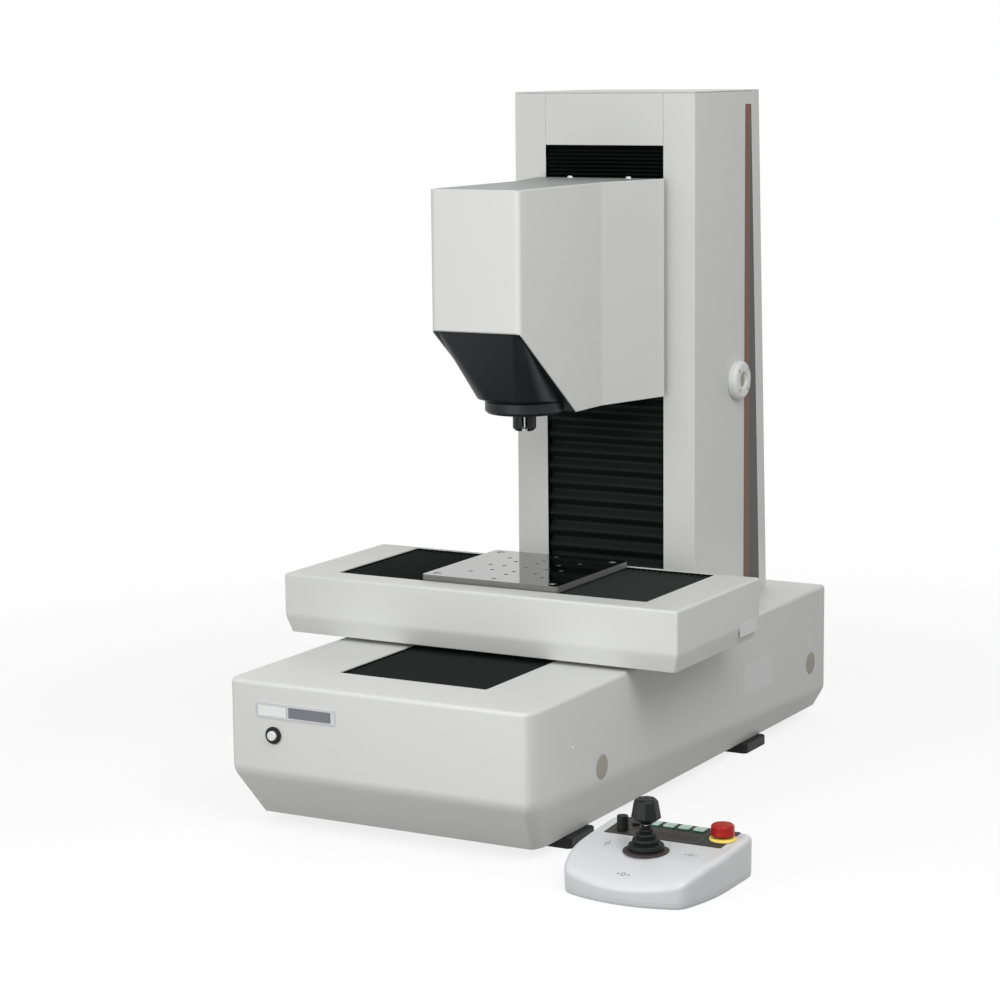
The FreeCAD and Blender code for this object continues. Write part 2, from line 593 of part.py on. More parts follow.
def column_covers():
    top = "column_top - column_sheet - end_gap"
    flange = f"{OPENING_HALF} + end_gap / 2"
    for name, side in (("column_right_cover", "1"), ("column_left_cover", "-1")):
        piece = Piece(name)
        wall = sides_of(side, COLUMN_HALF, f"{COLUMN_HALF} - column_sheet")
        piece.pad("yz", *wall, [("column_front", "base_top"), ("side_rear_bottom", "base_top"),
                                ("side_rear_top", top), ("column_front", top)])
        lip = sides_of(side, f"{COLUMN_HALF} - column_sheet / 2", flange)
        piece.pad("xz", "column_front", "column_front + column_sheet", box(*lip, "base_top", top))
    front = Piece("column_front_cover")
    front.pad("xz", "column_front", "column_front + column_sheet",
              box(f"-{OPENING_HALF} + end_gap / 2", f"{OPENING_HALF} - end_gap / 2",
                  "column_opening_top", top))
    hood = Piece("column_rear_cover")
    sheet_wall = "column_sheet"
    crown = f"column_top - {sheet_wall}"
    hood.pad("yz", f"-{COLUMN_HALF}", COLUMN_HALF,
             [("side_rear_bottom + end_gap", "base_top"), ("hood_rear_bottom", "base_top"),
              ("hood_rear_top", "column_top"), ("column_front", "column_top"),
              ("column_front", crown), ("side_rear_top + end_gap", crown)])
    hood.cut("yz", f"-{COLUMN_HALF} + {sheet_wall}", f"{COLUMN_HALF} - {sheet_wall}",
             [("side_rear_bottom - hood_lap", "base_top - 1"),
              (f"hood_rear_bottom - {sheet_wall}", "base_top - 1"),
              (f"hood_rear_top - {sheet_wall}", crown), ("side_rear_top - hood_lap", crown)])
    cap = Piece("column_side_cap", (COLUMN_HALF, "cap_offset", "cap_height"), TO_RIGHT)
    rim = "cap_diameter / 2"
    centre, dish = "cap_centre_diameter / 2", "cap_stand - cap_dish"
    cap.turn(("0", "0"), (rim, "0"), (rim, "cap_stand"), (centre, "cap_stand"), (centre, dish), ("0", dish))
    cap.cut("xy", dish, "cap_stand + 1",
            box(f"{centre} + cap_slot_width", f"{centre} + cap_slot_width + cap_slot_length",
                "-cap_slot_width / 2", "cap_slot_width / 2"))
    cap.around("cap_slots")


def z_bellows():
    half = f"({OPENING_HALF} - bellows_side_gap)"
    crest = "column_front + column_sheet + bellows_drop"
    bellows("z_bellows_upper", "z", "neck_top + end_gap", "column_opening_top - end_gap",
            f"-{half}", half, crest, -1, "z_upper_pleats")
    bellows("z_bellows_lower", "z", "lower_bellows_bottom", "neck_bottom - end_gap",
            f"-{half}", half, crest, -1, "z_lower_pleats")


# Stage that travels front to back, and the table that travels across it.

def carriages(name, along, spots, lift, height_axis="z"):
    """Four bearing blocks, each astride its rail with a running clearance."""
    piece = Piece(name)
    half, reach = "carriage_width / 2", "carriage_length / 2"
    groove = f"({RAIL_HALF} + slide_clearance)"
    blocks, slots = [], []
    for across, place in spots:
        ends = (f"{place} - {reach}", f"{place} + {reach}")
        block, slot = ((f"{across} - {w}", f"{across} + {w}") for w in (half, groove))
        blocks.append(box(*block, *ends) if along == "y" else box(*ends, *block))
        slots.append(box(*slot, *ends) if along == "y" else box(*ends, *slot))
    if height_axis == "z":
        low = f"{lift} + carriage_lift"
        piece.pad("xy", low, f"{low} + carriage_height", *blocks)
        piece.cut("xy", f"{low} - 1", f"{lift} + rail_height + slide_clearance", *slots)
    else:
        near = f"{lift} - carriage_lift"
        piece.pad("xz", f"{near} - carriage_height", near, *blocks)
        piece.cut("xz", f"{lift} - rail_height - slide_clearance", f"{near} + 1", *slots)


BEAM_TOP = f"{STAGE_FLOOR} + saddle_beam_height"
X_SCREW_Z = f"{BEAM_TOP} + x_screw_lift"
X_CARRIAGE_TOP = f"{BEAM_TOP} + carriage_lift + carriage_height"
BEAM_HALF = "saddle_beam_width / 2"


def stage():
    cover = Piece("stage_cover")
    half = "stage_width / 2"
    inset = "stage_skirt_inset"
    rear = "stage_front + stage_depth"
    foot = ("rounded", f"-{half} + {inset}", f"{half} - {inset}", f"stage_front + {inset}",
            f"{rear} - {inset}", "stage_corner_radius")
    waist = ("rounded", f"-{half}", half, "stage_front", rear, "stage_corner_radius")
    cover.loft("AdditiveLoft", ("stage_bottom", foot), ("stage_skirt", waist))
    cover.pad("xy", "stage_skirt", "stage_top", waist)
    wall = "stage_wall"
    inner_radius = f"stage_corner_radius - {wall}"
    inner_foot = faceted(f"-{half} + {inset} + {wall}", f"{half} - {inset} - {wall}",
                         f"stage_front + {inset} + {wall}", f"{rear} - {inset} - {wall}", inner_radius)
    inner_waist = faceted(f"-{half} + {wall}", f"{half} - {wall}", f"stage_front + {wall}",
                          f"{rear} - {wall}", inner_radius)
    cover.loft("SubtractiveLoft", (STAGE_FLOOR, inner_foot), ("stage_skirt", inner_waist))
    cover.cut("xy", "stage_skirt", f"stage_top - {wall}", inner_waist)
    cover.cut("xy", f"stage_top - 2 * {wall}", "stage_top + 1",
              box("-stage_opening_width / 2", "stage_opening_width / 2", "stage_opening_front",
                  "stage_opening_front + stage_opening_depth"))
    cover.cut("xy", "stage_bottom - 1", f"{STAGE_FLOOR} + 1",
              box("-saddle_width / 2 - end_gap", "saddle_width / 2 + end_gap",
                  f"{SADDLE_FRONT} - end_gap", f"{SADDLE_REAR} + end_gap"))
    saddle = Piece("stage_saddle")
    saddle.pad("xy", CARRIAGE_TOP, STAGE_FLOOR,
               box("-saddle_width / 2", "saddle_width / 2", SADDLE_FRONT, SADDLE_REAR))
    saddle.pad("xy", STAGE_FLOOR, BEAM_TOP,
               box(f"-{BEAM_HALF}", BEAM_HALF, "table_centre - saddle_beam_depth / 2",
                   "table_centre + saddle_beam_depth / 2"))
    saddle.pad("xy", "screw_height - nut_depth", CARRIAGE_TOP,
               box("-nut_width / 2", "nut_width / 2", "table_centre - nut_length / 2",
                   "table_centre + nut_length / 2"))
    saddle.cut("xz", "table_centre - nut_length", "table_centre + nut_length",
               ["circle", "0", "screw_height", "screw_diameter / 2 + slide_clearance"])
    saddle.pad("yz", f"{BEAM_HALF} - bearing_thickness", BEAM_HALF,
               box("table_centre - x_motor_size / 2", "table_centre + x_motor_size / 2", BEAM_TOP,
                   f"{BEAM_TOP} + 2 * x_screw_lift"))
    spots = [(f"{side} * rail_spread / 2", f"table_centre - saddle_setback + {end} * saddle_depth / 3")
             for side in ("-1", "1") for end in ("-1", "1")]
    carriages("y_carriages", "y", spots, "casting_top")


def x_drive():
    rails = Piece("x_rails")
    rails.pad("xy", BEAM_TOP, f"{BEAM_TOP} + rail_height",
              *[box("-x_rail_length / 2", "x_rail_length / 2",
                    f"table_centre + {side} * x_rail_spread / 2 - {RAIL_HALF}",
                    f"table_centre + {side} * x_rail_spread / 2 + {RAIL_HALF}") for side in ("-1", "1")])
    motor = Piece("x_motor")
    motor.pad("yz", f"-{BEAM_HALF}", f"-{BEAM_HALF} + x_motor_length",
              faceted("table_centre - x_motor_size / 2", "table_centre + x_motor_size / 2",
                      BEAM_TOP, f"{BEAM_TOP} + x_motor_size", "motor_corner"))
    start = f"-{BEAM_HALF} + x_motor_length + end_gap"
    screw = Piece("x_screw", (start, "table_centre", X_SCREW_Z), TO_RIGHT)
    length = "(saddle_beam_width - x_motor_length - bearing_thickness - 2 * end_gap)"
    screw.turn(("0", "0"), ("x_screw_diameter / 2", "0"), ("x_screw_diameter / 2", length), ("0", length))
    spots = [(f"table_centre + {side} * x_rail_spread / 2", f"{end} * pedestal_width / 3")
             for side in ("-1", "1") for end in ("-1", "1")]
    carriages("x_carriages", "x", spots, BEAM_TOP)
    low, high = "stage_opening_front + 2 * bellows_side_gap", \
        "stage_opening_front + stage_opening_depth - 2 * bellows_side_gap"
    crest = "stage_top - bellows_drop"
    bellows("x_bellows_left", "x", "-stage_opening_width / 2 + end_gap", "-pedestal_width / 2 - end_gap",
            low, high, crest, 1, "x_pleats")
    bellows("x_bellows_right", "x", "pedestal_width / 2 + end_gap", "stage_opening_width / 2 - end_gap",
            low, high, crest, 1, "x_pleats")


def table():
    pedestal = Piece("table_carriage", ("0", "table_centre", "0"))
    half = "pedestal_width / 2"
    pedestal.pad("xy", X_CARRIAGE_TOP, "table_bottom",
                 box(f"-{half}", half, "-pedestal_depth / 2", "pedestal_depth / 2"))
    nut = "(x_screw_diameter / 2 + x_nut_wall)"
    pedestal.pad("xy", f"{X_SCREW_Z} - x_screw_diameter / 2 - x_nut_floor", X_CARRIAGE_TOP,
                 box("-x_nut_width / 2", "x_nut_width / 2", f"-{nut}", nut))
    pedestal.cut("yz", "-x_nut_width", "x_nut_width",
                 ["circle", "0", X_SCREW_Z, "x_screw_diameter / 2 + slide_clearance"])
    plate = Piece("table_plate", ("0", "table_centre", "table_bottom"))
    side = "table_size / 2"
    plate.pad("xy", "0", "table_thickness",
              faceted(f"-{side}", side, f"-{side}", side, "table_corner"))
    holes = [("0", "0")]
    for grid in ("inner_grid", "outer_grid"):
        holes += [(f"{a} * {grid}", f"{b} * {grid}") for a in (-1, 0, 1) for b in (-1, 0, 1) if a or b]
    holes += [("0", "far_hole"), ("0", "-far_hole")]
    plate.cut("xy", "-1", "table_thickness + 1",
              *[("circle", a, b, "tapped_diameter / 2") for a, b in holes])
    corners = [(f"{a} * screw_grid", f"{b} * screw_grid") for a in (-1, 1) for b in (-1, 1)]
    plate.cut("xy", "-1", "table_thickness + 1", *[("circle", a, b, "screw_bore / 2") for a, b in corners])
    plate.cut("xy", "table_thickness - counterbore_depth", "table_thickness + 1",
              *[("circle", a, b, "screw_counterbore / 2") for a, b in corners])


# Test head.

HEAD_HALF = "head_width / 2"
REAR_HALF = "head_rear_width / 2"
FLARE = "(head_rear_width - head_width) / 2 / (head_rear - head_bend)"
HEAD_INNER = f"{HEAD_HALF} - head_sheet"
SLANT = f"sqrt(1 + ({FLARE})^2)"
REAR_INNER = f"{REAR_HALF} - head_sheet * {SLANT}"
BEND_INNER = f"head_bend + head_sheet * ({SLANT} - 1) / ({FLARE})"
BEAM_BOTTOM = "(head_front_bottom - beam_drop)"
NECK_REAR = "column_casting_front - carriage_lift - carriage_height"
NOSE_FRONT = "head_front + nose_front_gap"


def inner_plan(front):
    """The plan of the space inside the head covers, from a given front."""
    return [(f"-({HEAD_INNER})", front), (HEAD_INNER, front), (HEAD_INNER, BEND_INNER),
            (REAR_INNER, "head_rear"), (f"-({REAR_INNER})", "head_rear"), (f"-({HEAD_INNER})", BEND_INNER)]


def head_covers():
    cover = Piece("head_cover")
    cover.pad("xy", "head_bottom", "head_top",
              [(f"-{HEAD_HALF}", "head_front"), (HEAD_HALF, "head_front"), (HEAD_HALF, "head_bend"),
               (REAR_HALF, "head_rear"), (f"-{REAR_HALF}", "head_rear"), (f"-{HEAD_HALF}", "head_bend")])
    front_edge = value("head_front")
    cover.soften("Fillet", "head_edge_radius",
                 lambda edge: upright(edge) and abs(edge.Vertexes[0].Y - front_edge) < 1e-4)
    cover.cut("xy", "head_bottom - 1", "head_top + 1", inner_plan("head_front + head_sheet"))
    cover.cut("yz", f"-{REAR_HALF}", REAR_HALF,
              [("head_front - 1", "head_bottom - 1"), ("head_cut_rear", "head_bottom - 1"),
               ("head_cut_rear", "head_bottom"), ("head_front", "head_front_bottom"),
               ("head_front - 1", "head_front_bottom")])
    lid = Piece("head_top_cover")
    lid.pad("xy", "head_top - head_sheet", "head_top", inner_plan("head_front + head_sheet"))
    pan = Piece("head_bottom_cover")
    pan.pad("xy", "head_bottom", "head_bottom + head_sheet", inner_plan("head_cut_rear + pan_setback"))
    pan.cut("xy", "head_bottom - 1", "head_bottom + head_sheet + 1",
            ["circle", "0", "table_centre", "collar_radius + end_gap"])


def head_frame():
    piece = Piece("head_frame")
    neck = "neck_width / 2"
    piece.pad("xy", "neck_bottom", "neck_top", box(f"-{neck}", neck, "head_rear", NECK_REAR))
    piece.cut("xy", "neck_bottom + neck_plate", "neck_top - neck_plate",
              box(f"-{neck} + neck_plate", f"{neck} - neck_plate", "head_rear - 1",
                  f"{NECK_REAR} - neck_plate"))
    piece.pad("xy", "head_bottom + head_sheet", "head_top - head_sheet",
              box("-back_plate_width / 2", "back_plate_width / 2", "head_rear - back_plate", "head_rear"))
    piece.pad("xy", BEAM_BOTTOM, f"{BEAM_BOTTOM} + beam_height",
              box("-beam_width / 2", "beam_width / 2", "beam_front", f"{NECK_REAR} - 1"))
    piece.pad("xy", "z_nut_bottom", "z_nut_bottom + z_nut_height",
              box("-z_nut_width / 2", "z_nut_width / 2", f"{NECK_REAR} - 1",
                  f"{RECESS_REAR} - z_nut_gap"))
    piece.pad("xy", "housing_bottom", BEAM_BOTTOM, ["circle", "0", "table_centre", "housing_diameter / 2"])
    piece.cut("xy", "housing_bottom - 1", f"{BEAM_BOTTOM} + beam_height + 1",
              ["circle", "0", "table_centre", "spindle_diameter / 2 + slide_clearance"])
    piece.cut("xy", "z_nut_bottom - 1", "z_nut_bottom + z_nut_height + 1",
              ["circle", "0", Z_SCREW_Y, "z_screw_diameter / 2 + slide_clearance"])
    middle = "(neck_bottom + neck_top) / 2"
    spots = [(f"{side} * z_rail_spread / 2", f"{middle} + {end} * (neck_top - neck_bottom) / 3")
             for side in ("-1", "1") for end in ("-1", "1")]
    carriages("z_carriages", "y", spots, "column_casting_front", "y")
    motor = Piece("load_actuator", ("0", "table_centre", f"{BEAM_BOTTOM} + beam_height"))
    radius = "actuator_diameter / 2"
    motor.turn(("0", "0"), (radius, "0"), (radius, "actuator_height"), ("0", "actuator_height"))


def nose():
    piece = Piece("nose_cone", ("0", "table_centre", "0"))
    front, rear = f"({NOSE_FRONT} - table_centre)", f"({NOSE_FRONT} - table_centre + nose_depth)"
    half, foot, wall = "nose_width / 2", "nose_foot / 2", "nose_wall"
    piece.pad("yz", f"-{half}", half,
              [(f"-{foot}", "nose_bottom"), (foot, "nose_bottom"), (rear, BEAM_BOTTOM), (front, BEAM_BOTTOM)])
    for side in ("-1", "1"):
        piece.cut("xz", f"{front} - 1", f"{rear} + 1",
                  [(f"{side} * {foot}", "nose_bottom"), (f"{side} * {half}", BEAM_BOTTOM),
                   (f"{side} * nose_width", BEAM_BOTTOM), (f"{side} * nose_width", "nose_bottom - 1"),
                   (f"{side} * {foot}", "nose_bottom - 1")])
    piece.soften("Fillet", "nose_radius", steep)
    for width, lean in ((f"({foot} - {wall})", "nose_radius / 2"), (f"({foot} - nose_radius / 2)", wall)):
        piece.cut("yz", f"-{width}", width,
                  [(f"-{foot} + {lean}", f"nose_bottom + {wall}"),
                   (f"{foot} - {lean}", f"nose_bottom + {wall}"),
                   (f"{rear} - {lean}", f"{BEAM_BOTTOM} + 1"),
                   (f"{front} + {lean}", f"{BEAM_BOTTOM} + 1")])
    low = "nose_bottom - collar_height"
    piece.pad("xy", low, "nose_bottom", ["circle", "0", "0", "collar_radius"])
    piece.soften("Chamfer", "collar_edge", level_at(low))
    piece.cut("xy", f"{low} - 1", f"nose_bottom + {wall} + 1", ["circle", "0", "0", "collar_bore / 2"])
    guard = Piece("indenter_guard", ("0", "table_centre", low))
    rim = "guard_diameter / 2"
    guard.turn(("guard_bore / 2", "-guard_length"), (f"{rim} - guard_chamfer", "-guard_length"),
               (rim, "-guard_length + guard_chamfer"), (rim, "0"), ("guard_bore / 2", "0"))
    guard.cut("xy", "-guard_length - 1", "-guard_base",
              box("-guard_diameter", "0", "-guard_slot / 2", "guard_slot / 2"))
    guard.around("guard_slots")


def ram():
    spindle = Piece("loading_spindle", ("0", "table_centre", "0"))
    wide, slim = "spindle_diameter / 2", "spindle_end_diameter / 2"
    top = f"{BEAM_BOTTOM} + beam_height - end_gap"
    spindle.turn(("0", "spindle_bottom"), (slim, "spindle_bottom"), (slim, "spindle_shoulder"),
                 (wide, "spindle_shoulder"), (wide, top), ("0", top))
    holder = Piece("indenter", ("0", "table_centre", "0"))
    point, body, step = "point_diameter / 2", "indenter_diameter / 2", "indenter_tip + point_length"
    holder.turn(("0", "indenter_tip"), (point, "indenter_tip"), (point, step), (body, step),
                (body, "spindle_bottom"), ("0", "spindle_bottom"))


# Control box.

PANEL_REAR = "panel_front + panel_length"
ABOVE_DECK = "control_rear_height + 2 * control_spare"
SLOPE = "(control_rear_height - control_mid_height) / (control_depth - control_mid)"


def deck(place):
    """Height of the sloping deck at a distance from the front edge."""
    return f"(control_mid_height + ({place} - control_mid) * {SLOPE})"


def from_control(across, along, up):
    return (f"{CONTROL[0]} + {across}", f"{CONTROL[1]} + {along}", f"{CONTROL[2]} + {up}")


BUTTON_PLACES = [f"{k} * button_pitch / 2" for k in (-3, -1, 1, 3)]


def control_case():
    piece = Piece("control_case", CONTROL)
    side_radius = "((control_half - control_front_half)^2 + control_side_bow^2)" \
        " / (2 * (control_half - control_front_half))"
    front_radius = "(control_front_half^2 + control_front_bow^2) / (2 * control_front_bow)"
    shoulder = "control_front_bow + control_side_bow"
    piece.pad("xy", "0", "control_rear_height + control_spare",
              [("-control_front_half", "control_front_bow", front_radius),
               ("control_front_half", "control_front_bow", side_radius),
               ("control_half", shoulder), ("control_half", "control_depth"),
               ("-control_half", "control_depth"), ("-control_half", shoulder, side_radius)])
    ends = [value("control_front_bow"), value("control_depth")]
    piece.soften("Fillet", "control_corner_radius",
                 lambda edge: upright(edge) and min(abs(edge.Vertexes[0].Y - end) for end in ends) < 1e-4)
    piece.cut("yz", "-control_half - control_spare", "control_half + control_spare",
              [("0", "control_front_height", "-control_crown"), ("control_mid", "control_mid_height"),
               ("control_depth + 1", deck("(control_depth + 1)")),
               ("control_depth + 1", ABOVE_DECK), ("-1", ABOVE_DECK), ("-1", "control_front_height")])
    piece.cut("yz", "-panel_half", "panel_half",
              [("panel_front", f"{deck('panel_front')} - panel_thickness"),
               (PANEL_REAR, f"{deck(PANEL_REAR)} - panel_thickness"),
               (PANEL_REAR, ABOVE_DECK), ("panel_front", ABOVE_DECK)])
    gap = "slide_clearance"
    half = f"button_size / 2 + {gap}"
    floor = "control_rear_height - button_well"
    wells = [box(f"{place} - ({half})", f"{place} + {half}", f"button_row - ({half})", f"button_row + {half}")
             for place in BUTTON_PLACES]
    wells.append(("circle", "mode_offset", "mode_row", f"mode_diameter / 2 + {gap}"))
    wells.append(("circle", "dial_offset", "dial_row", f"dial_shaft / 2 + {gap}"))
    piece.cut("xy", floor, ABOVE_DECK, *wells)
    piece.cut("xy", f"{floor} - stop_stem_length / 2", ABOVE_DECK,
              ("circle", "stop_offset", "stop_row", f"stop_stem_diameter / 2 + {gap}"))
    piece.cut("xy", "flange_bottom", ABOVE_DECK,
              ("circle", "stick_offset", "stick_row", f"flange_diameter / 2 + {gap}"))
    piece.cut("xy", "stick_well_floor", "flange_bottom + 1",
              ("circle", "stick_offset", "stick_row", "stick_well_diameter / 2"))
    panel = Piece("control_panel", CONTROL)
    panel.pad("yz", "-panel_half", "panel_half",
              [("panel_front", f"{deck('panel_front')} - panel_thickness"),
               (PANEL_REAR, f"{deck(PANEL_REAR)} - panel_thickness"), (PANEL_REAR, deck(PANEL_REAR)),
               ("panel_front", deck("panel_front"))])
    panel.cut("xy", "control_mid_height - panel_thickness", ABOVE_DECK, *wells,
              ("circle", "stop_offset", "stop_row", f"stop_stem_diameter / 2 + {gap}"))


def panel_controls():
    half = "button_size / 2"
    for number, place in enumerate(BUTTON_PLACES, 1):
        button = Piece(f"axis_button_{number}", from_control(place, "button_row", deck("button_row")))
        button.pad("xy", "button_stand - button_length", "button_stand",
                   faceted(f"-{half}", half, f"-{half}", half, "button_corner"))
    mode = Piece("mode_button", from_control("mode_offset", "mode_row", deck("mode_row")))
    rim = "mode_diameter / 2"
    mode.turn(("0", "button_stand - button_length"), (rim, "button_stand - button_length"),
              (rim, "button_stand"), ("0", "button_stand"))
    dial = Piece("speed_knob", from_control("dial_offset", "dial_row", deck("dial_row")))
    edge, shaft = "dial_diameter / 2", "dial_shaft / 2"
    rise = f"({edge} + 1) * {SLOPE} + end_gap"
    dial.turn(("0", "-dial_shaft_length"), (shaft, "-dial_shaft_length"), (shaft, rise), (edge, rise),
              (edge, "dial_height"), ("0", "dial_height"))
    seat = from_control("stop_offset", "stop_row", deck("stop_row"))
    lift = f"(stop_collar_diameter / 2) * {SLOPE}"
    collar = Piece("e_stop_collar", seat)
    shank, disc = "stop_stem_diameter / 2", "stop_collar_diameter / 2"
    ledge = f"{lift} + stop_collar_height"
    bore = f"{shank} + slide_clearance"
    collar.turn((bore, lift), (disc, lift), (disc, ledge), (bore, ledge))
    low = f"{ledge} + stop_travel + end_gap"
    stem = Piece("e_stop_stem", seat)
    stem.turn(("0", "-stop_stem_length"), (shank, "-stop_stem_length"), (shank, f"{low} - end_gap"),
              ("0", f"{low} - end_gap"))
    head = Piece("e_stop_head", seat)
    rim, cap = "stop_head_diameter / 2", f"{low} + stop_head_height"
    head.turn(("0", low), (rim, low), (rim, cap), ("0", cap))


def joystick():
    pivot = from_control("stick_offset", "stick_row", "stick_pivot")
    gimbal = Piece("joystick_gimbal", pivot)
    high, ring, inside = "gimbal_height / 2", "gimbal_outer / 2", "gimbal_inner / 2"
    gimbal.pad("xy", f"-{high}", high, box(f"-{ring}", ring, f"-{ring}", ring),
               box(f"-{inside}", inside, f"-{inside}", inside))
    for side in ("-1", "1"):
        ends = sides_of(side, "stick_well_diameter / 2 - end_gap", f"{ring} - 1")
        gimbal.pad("yz", *ends, ["circle", "0", "0", "trunnion_diameter / 2"])
    stick = Piece("joystick_stick", pivot)
    rod, top = "stick_diameter / 2", "grip_bottom - stick_pivot"
    stick.turn(("0", "-stick_foot"), (rod, "-stick_foot"), (rod, top), ("0", top))
    cross = f"({inside} - end_gap)"
    stick.pad("xz", f"-{cross}", cross, ["circle", "0", "0", "trunnion_diameter / 2"])
    grip = Piece("joystick_knob", from_control("stick_offset", "stick_row", "grip_bottom"))
    foot, belt, top = "grip_foot_diameter / 2", "grip_diameter / 2", "grip_top_diameter / 2"
    grip.pad("xy", "end_gap", "grip_height", box(f"-{belt}", belt, f"-{belt}", belt))
    grip.cut("xz", "-grip_diameter", "grip_diameter",
             [(foot, "end_gap - 1"), (foot, "end_gap"), (belt, "grip_belt"),
              (top, "grip_height - grip_crown"), (f"{top} - grip_crown", "grip_height"),
              (f"{top} - grip_crown", "grip_height + 1"), ("grip_diameter", "grip_height + 1"),
              ("grip_diameter", "end_gap - 1")])
    grip.around("grip_sides")
    boot = Piece("joystick_boot",
                 from_control("stick_offset", "stick_row", "flange_bottom + flange_thickness"))
    rings = int(value("boot_rings"))
    outer = [("flange_diameter / 2", "-flange_thickness"), ("flange_diameter / 2", "0")]
    for i in range(rings):
        radius = f"(boot_base_diameter - {i} * (boot_base_diameter - boot_neck_diameter) / {rings - 1}) / 2"
        outer += [(radius, f"{i} * boot_height / {rings}"), (radius, f"{i + 1} * boot_height / {rings}")]
    neck, well = "stick_diameter / 2 + end_gap", "stick_well_diameter / 2"
    boot.turn(*outer, (neck, "boot_height"), (neck, "boot_shoulder"), (well, "boot_shoulder"),
              (well, "-flange_thickness"))


bed_cover()
bed_casting()
feet()
side_plugs()
bare_nameplate()
power_switch()
mains_inlet()
y_drive()
y_bellows()
column_casting()
z_drive()
column_covers()
z_bellows()
stage()
x_drive()
table()
head_covers()
head_frame()
nose()
ram()
control_case()
panel_controls()
joystick()
doc.recompute()

failed = [o.Name for o in doc.Objects if "Invalid" in o.State or "Error" in o.State]
for piece in pieces:
    shape = piece.body.Shape
    if shape.isNull() or not shape.isValid() or shape.Volume <= 0:
        failed.append(piece.name)
for cut in doc.findObjects("PartDesign::Pocket") if not failed else []:
    if cut.BaseFeature and cut.Shape.Volume >= cut.BaseFeature.Shape.Volume - 1e-3:
        failed.append(cut.Name + " cuts nothing")
if failed:
    raise SystemExit("failed: " + ", ".join(failed))

os.makedirs("parts", exist_ok=True)
for piece in pieces:
    piece.body.Shape.exportStep(f"parts/{piece.name}.step")
print(len(pieces), "pieces written")
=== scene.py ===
import json
import math
import bmesh
import bpy
import numpy as np
from mathutils import Matrix, Vector

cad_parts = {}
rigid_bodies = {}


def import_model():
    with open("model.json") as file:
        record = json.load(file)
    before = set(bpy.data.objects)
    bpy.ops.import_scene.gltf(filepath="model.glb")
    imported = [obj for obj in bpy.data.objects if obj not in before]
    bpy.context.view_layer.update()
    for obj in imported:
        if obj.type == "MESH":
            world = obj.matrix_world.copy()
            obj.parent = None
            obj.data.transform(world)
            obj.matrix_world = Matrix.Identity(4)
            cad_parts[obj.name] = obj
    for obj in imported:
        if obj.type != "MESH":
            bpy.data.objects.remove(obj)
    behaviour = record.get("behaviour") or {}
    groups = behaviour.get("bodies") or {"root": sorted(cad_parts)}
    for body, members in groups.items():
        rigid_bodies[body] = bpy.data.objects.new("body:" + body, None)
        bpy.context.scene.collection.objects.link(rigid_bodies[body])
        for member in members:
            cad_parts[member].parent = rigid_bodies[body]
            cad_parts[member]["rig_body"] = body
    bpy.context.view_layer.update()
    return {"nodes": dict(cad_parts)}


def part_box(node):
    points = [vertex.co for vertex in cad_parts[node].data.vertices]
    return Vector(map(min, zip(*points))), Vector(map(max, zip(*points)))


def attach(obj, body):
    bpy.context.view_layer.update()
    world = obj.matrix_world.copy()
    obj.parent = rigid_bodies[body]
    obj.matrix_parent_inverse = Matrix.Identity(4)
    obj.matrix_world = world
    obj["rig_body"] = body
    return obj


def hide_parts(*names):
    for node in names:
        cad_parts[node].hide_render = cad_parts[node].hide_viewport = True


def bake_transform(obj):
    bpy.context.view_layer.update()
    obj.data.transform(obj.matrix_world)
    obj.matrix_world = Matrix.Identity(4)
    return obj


print("loading the frame")
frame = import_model()

# the machine's own datum: middle of the bed cover's front face, at its lower edge
bedLow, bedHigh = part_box("base_cover")
datum = np.array([(bedLow.x + bedHigh.x) / 2, bedLow.y, bedLow.z])
caseLow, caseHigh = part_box("control_case")
caseDatum = np.array([(caseLow.x + caseHigh.x) / 2, caseLow.y, caseLow.z])


def inMachine(points, origin=datum):
    # millimetres from the datum to metres in the row frame
    return np.asarray(points, float) / 1000 + origin


def newObject(name, data):
    # a named object in the scene
    piece = bpy.data.objects.new(name, data)
    bpy.context.scene.collection.objects.link(piece)
    return piece


# camera, at the place and turn that the photograph's edges give
cameraView = {
    "place": (2400.43, -3836.34, 1308.37),  # mm from the machine's datum
    "yaw": 29.2911, "pitch": 9.1465, "roll": -0.5748,  # degrees
    "lens": 99.056, "sensor": 36.0, "clip": (0.1, 60),
}


def makeCamera(spec):
    # the view's three axes follow from yaw and pitch, then turn by roll
    yaw, pitch, roll = (math.radians(spec[k]) for k in ("yaw", "pitch", "roll"))
    forward = Vector((-math.sin(yaw) * math.cos(pitch), math.cos(yaw) * math.cos(pitch), -math.sin(pitch)))
    level = Vector((math.cos(yaw), math.sin(yaw), 0))
    above = level.cross(forward)
    right = math.cos(roll) * level + math.sin(roll) * above
    up = -math.sin(roll) * level + math.cos(roll) * above
    turn = Matrix((right, up, -forward)).transposed()
    data = bpy.data.cameras.new("photoCamera")
    data.lens, data.sensor_width = spec["lens"], spec["sensor"]
    data.clip_start, data.clip_end = spec["clip"]
    camera = newObject("photoCamera", data)
    camera.matrix_world = Matrix.Translation(inMachine(spec["place"])) @ turn.to_4x4()
    bpy.context.scene.camera = camera


makeCamera(cameraView)
print("camera placed")


# shader nodes and the effects that the materials share

tintScale, grainDetail, lineDetail = 7, 3, 4  # blotches per metre, and how fine the noises go


def addNode(tree, kind, sockets=None, **settings):
    # a node whose sockets are linked to an output, or set to a value
    node = tree.nodes.new("ShaderNode" + kind)
    for key, value in settings.items():
        setattr(node, key, value)
    for key, value in (sockets or {}).items():
        if isinstance(value, bpy.types.NodeSocket):
            tree.links.new(value, node.inputs[key])
        else:
            node.inputs[key].default_value = value
    return node


def maths(tree, operation, *values):
    # one step of arithmetic on outputs and numbers
    return addNode(tree, "Math", dict(enumerate(values)), operation=operation).outputs[0]


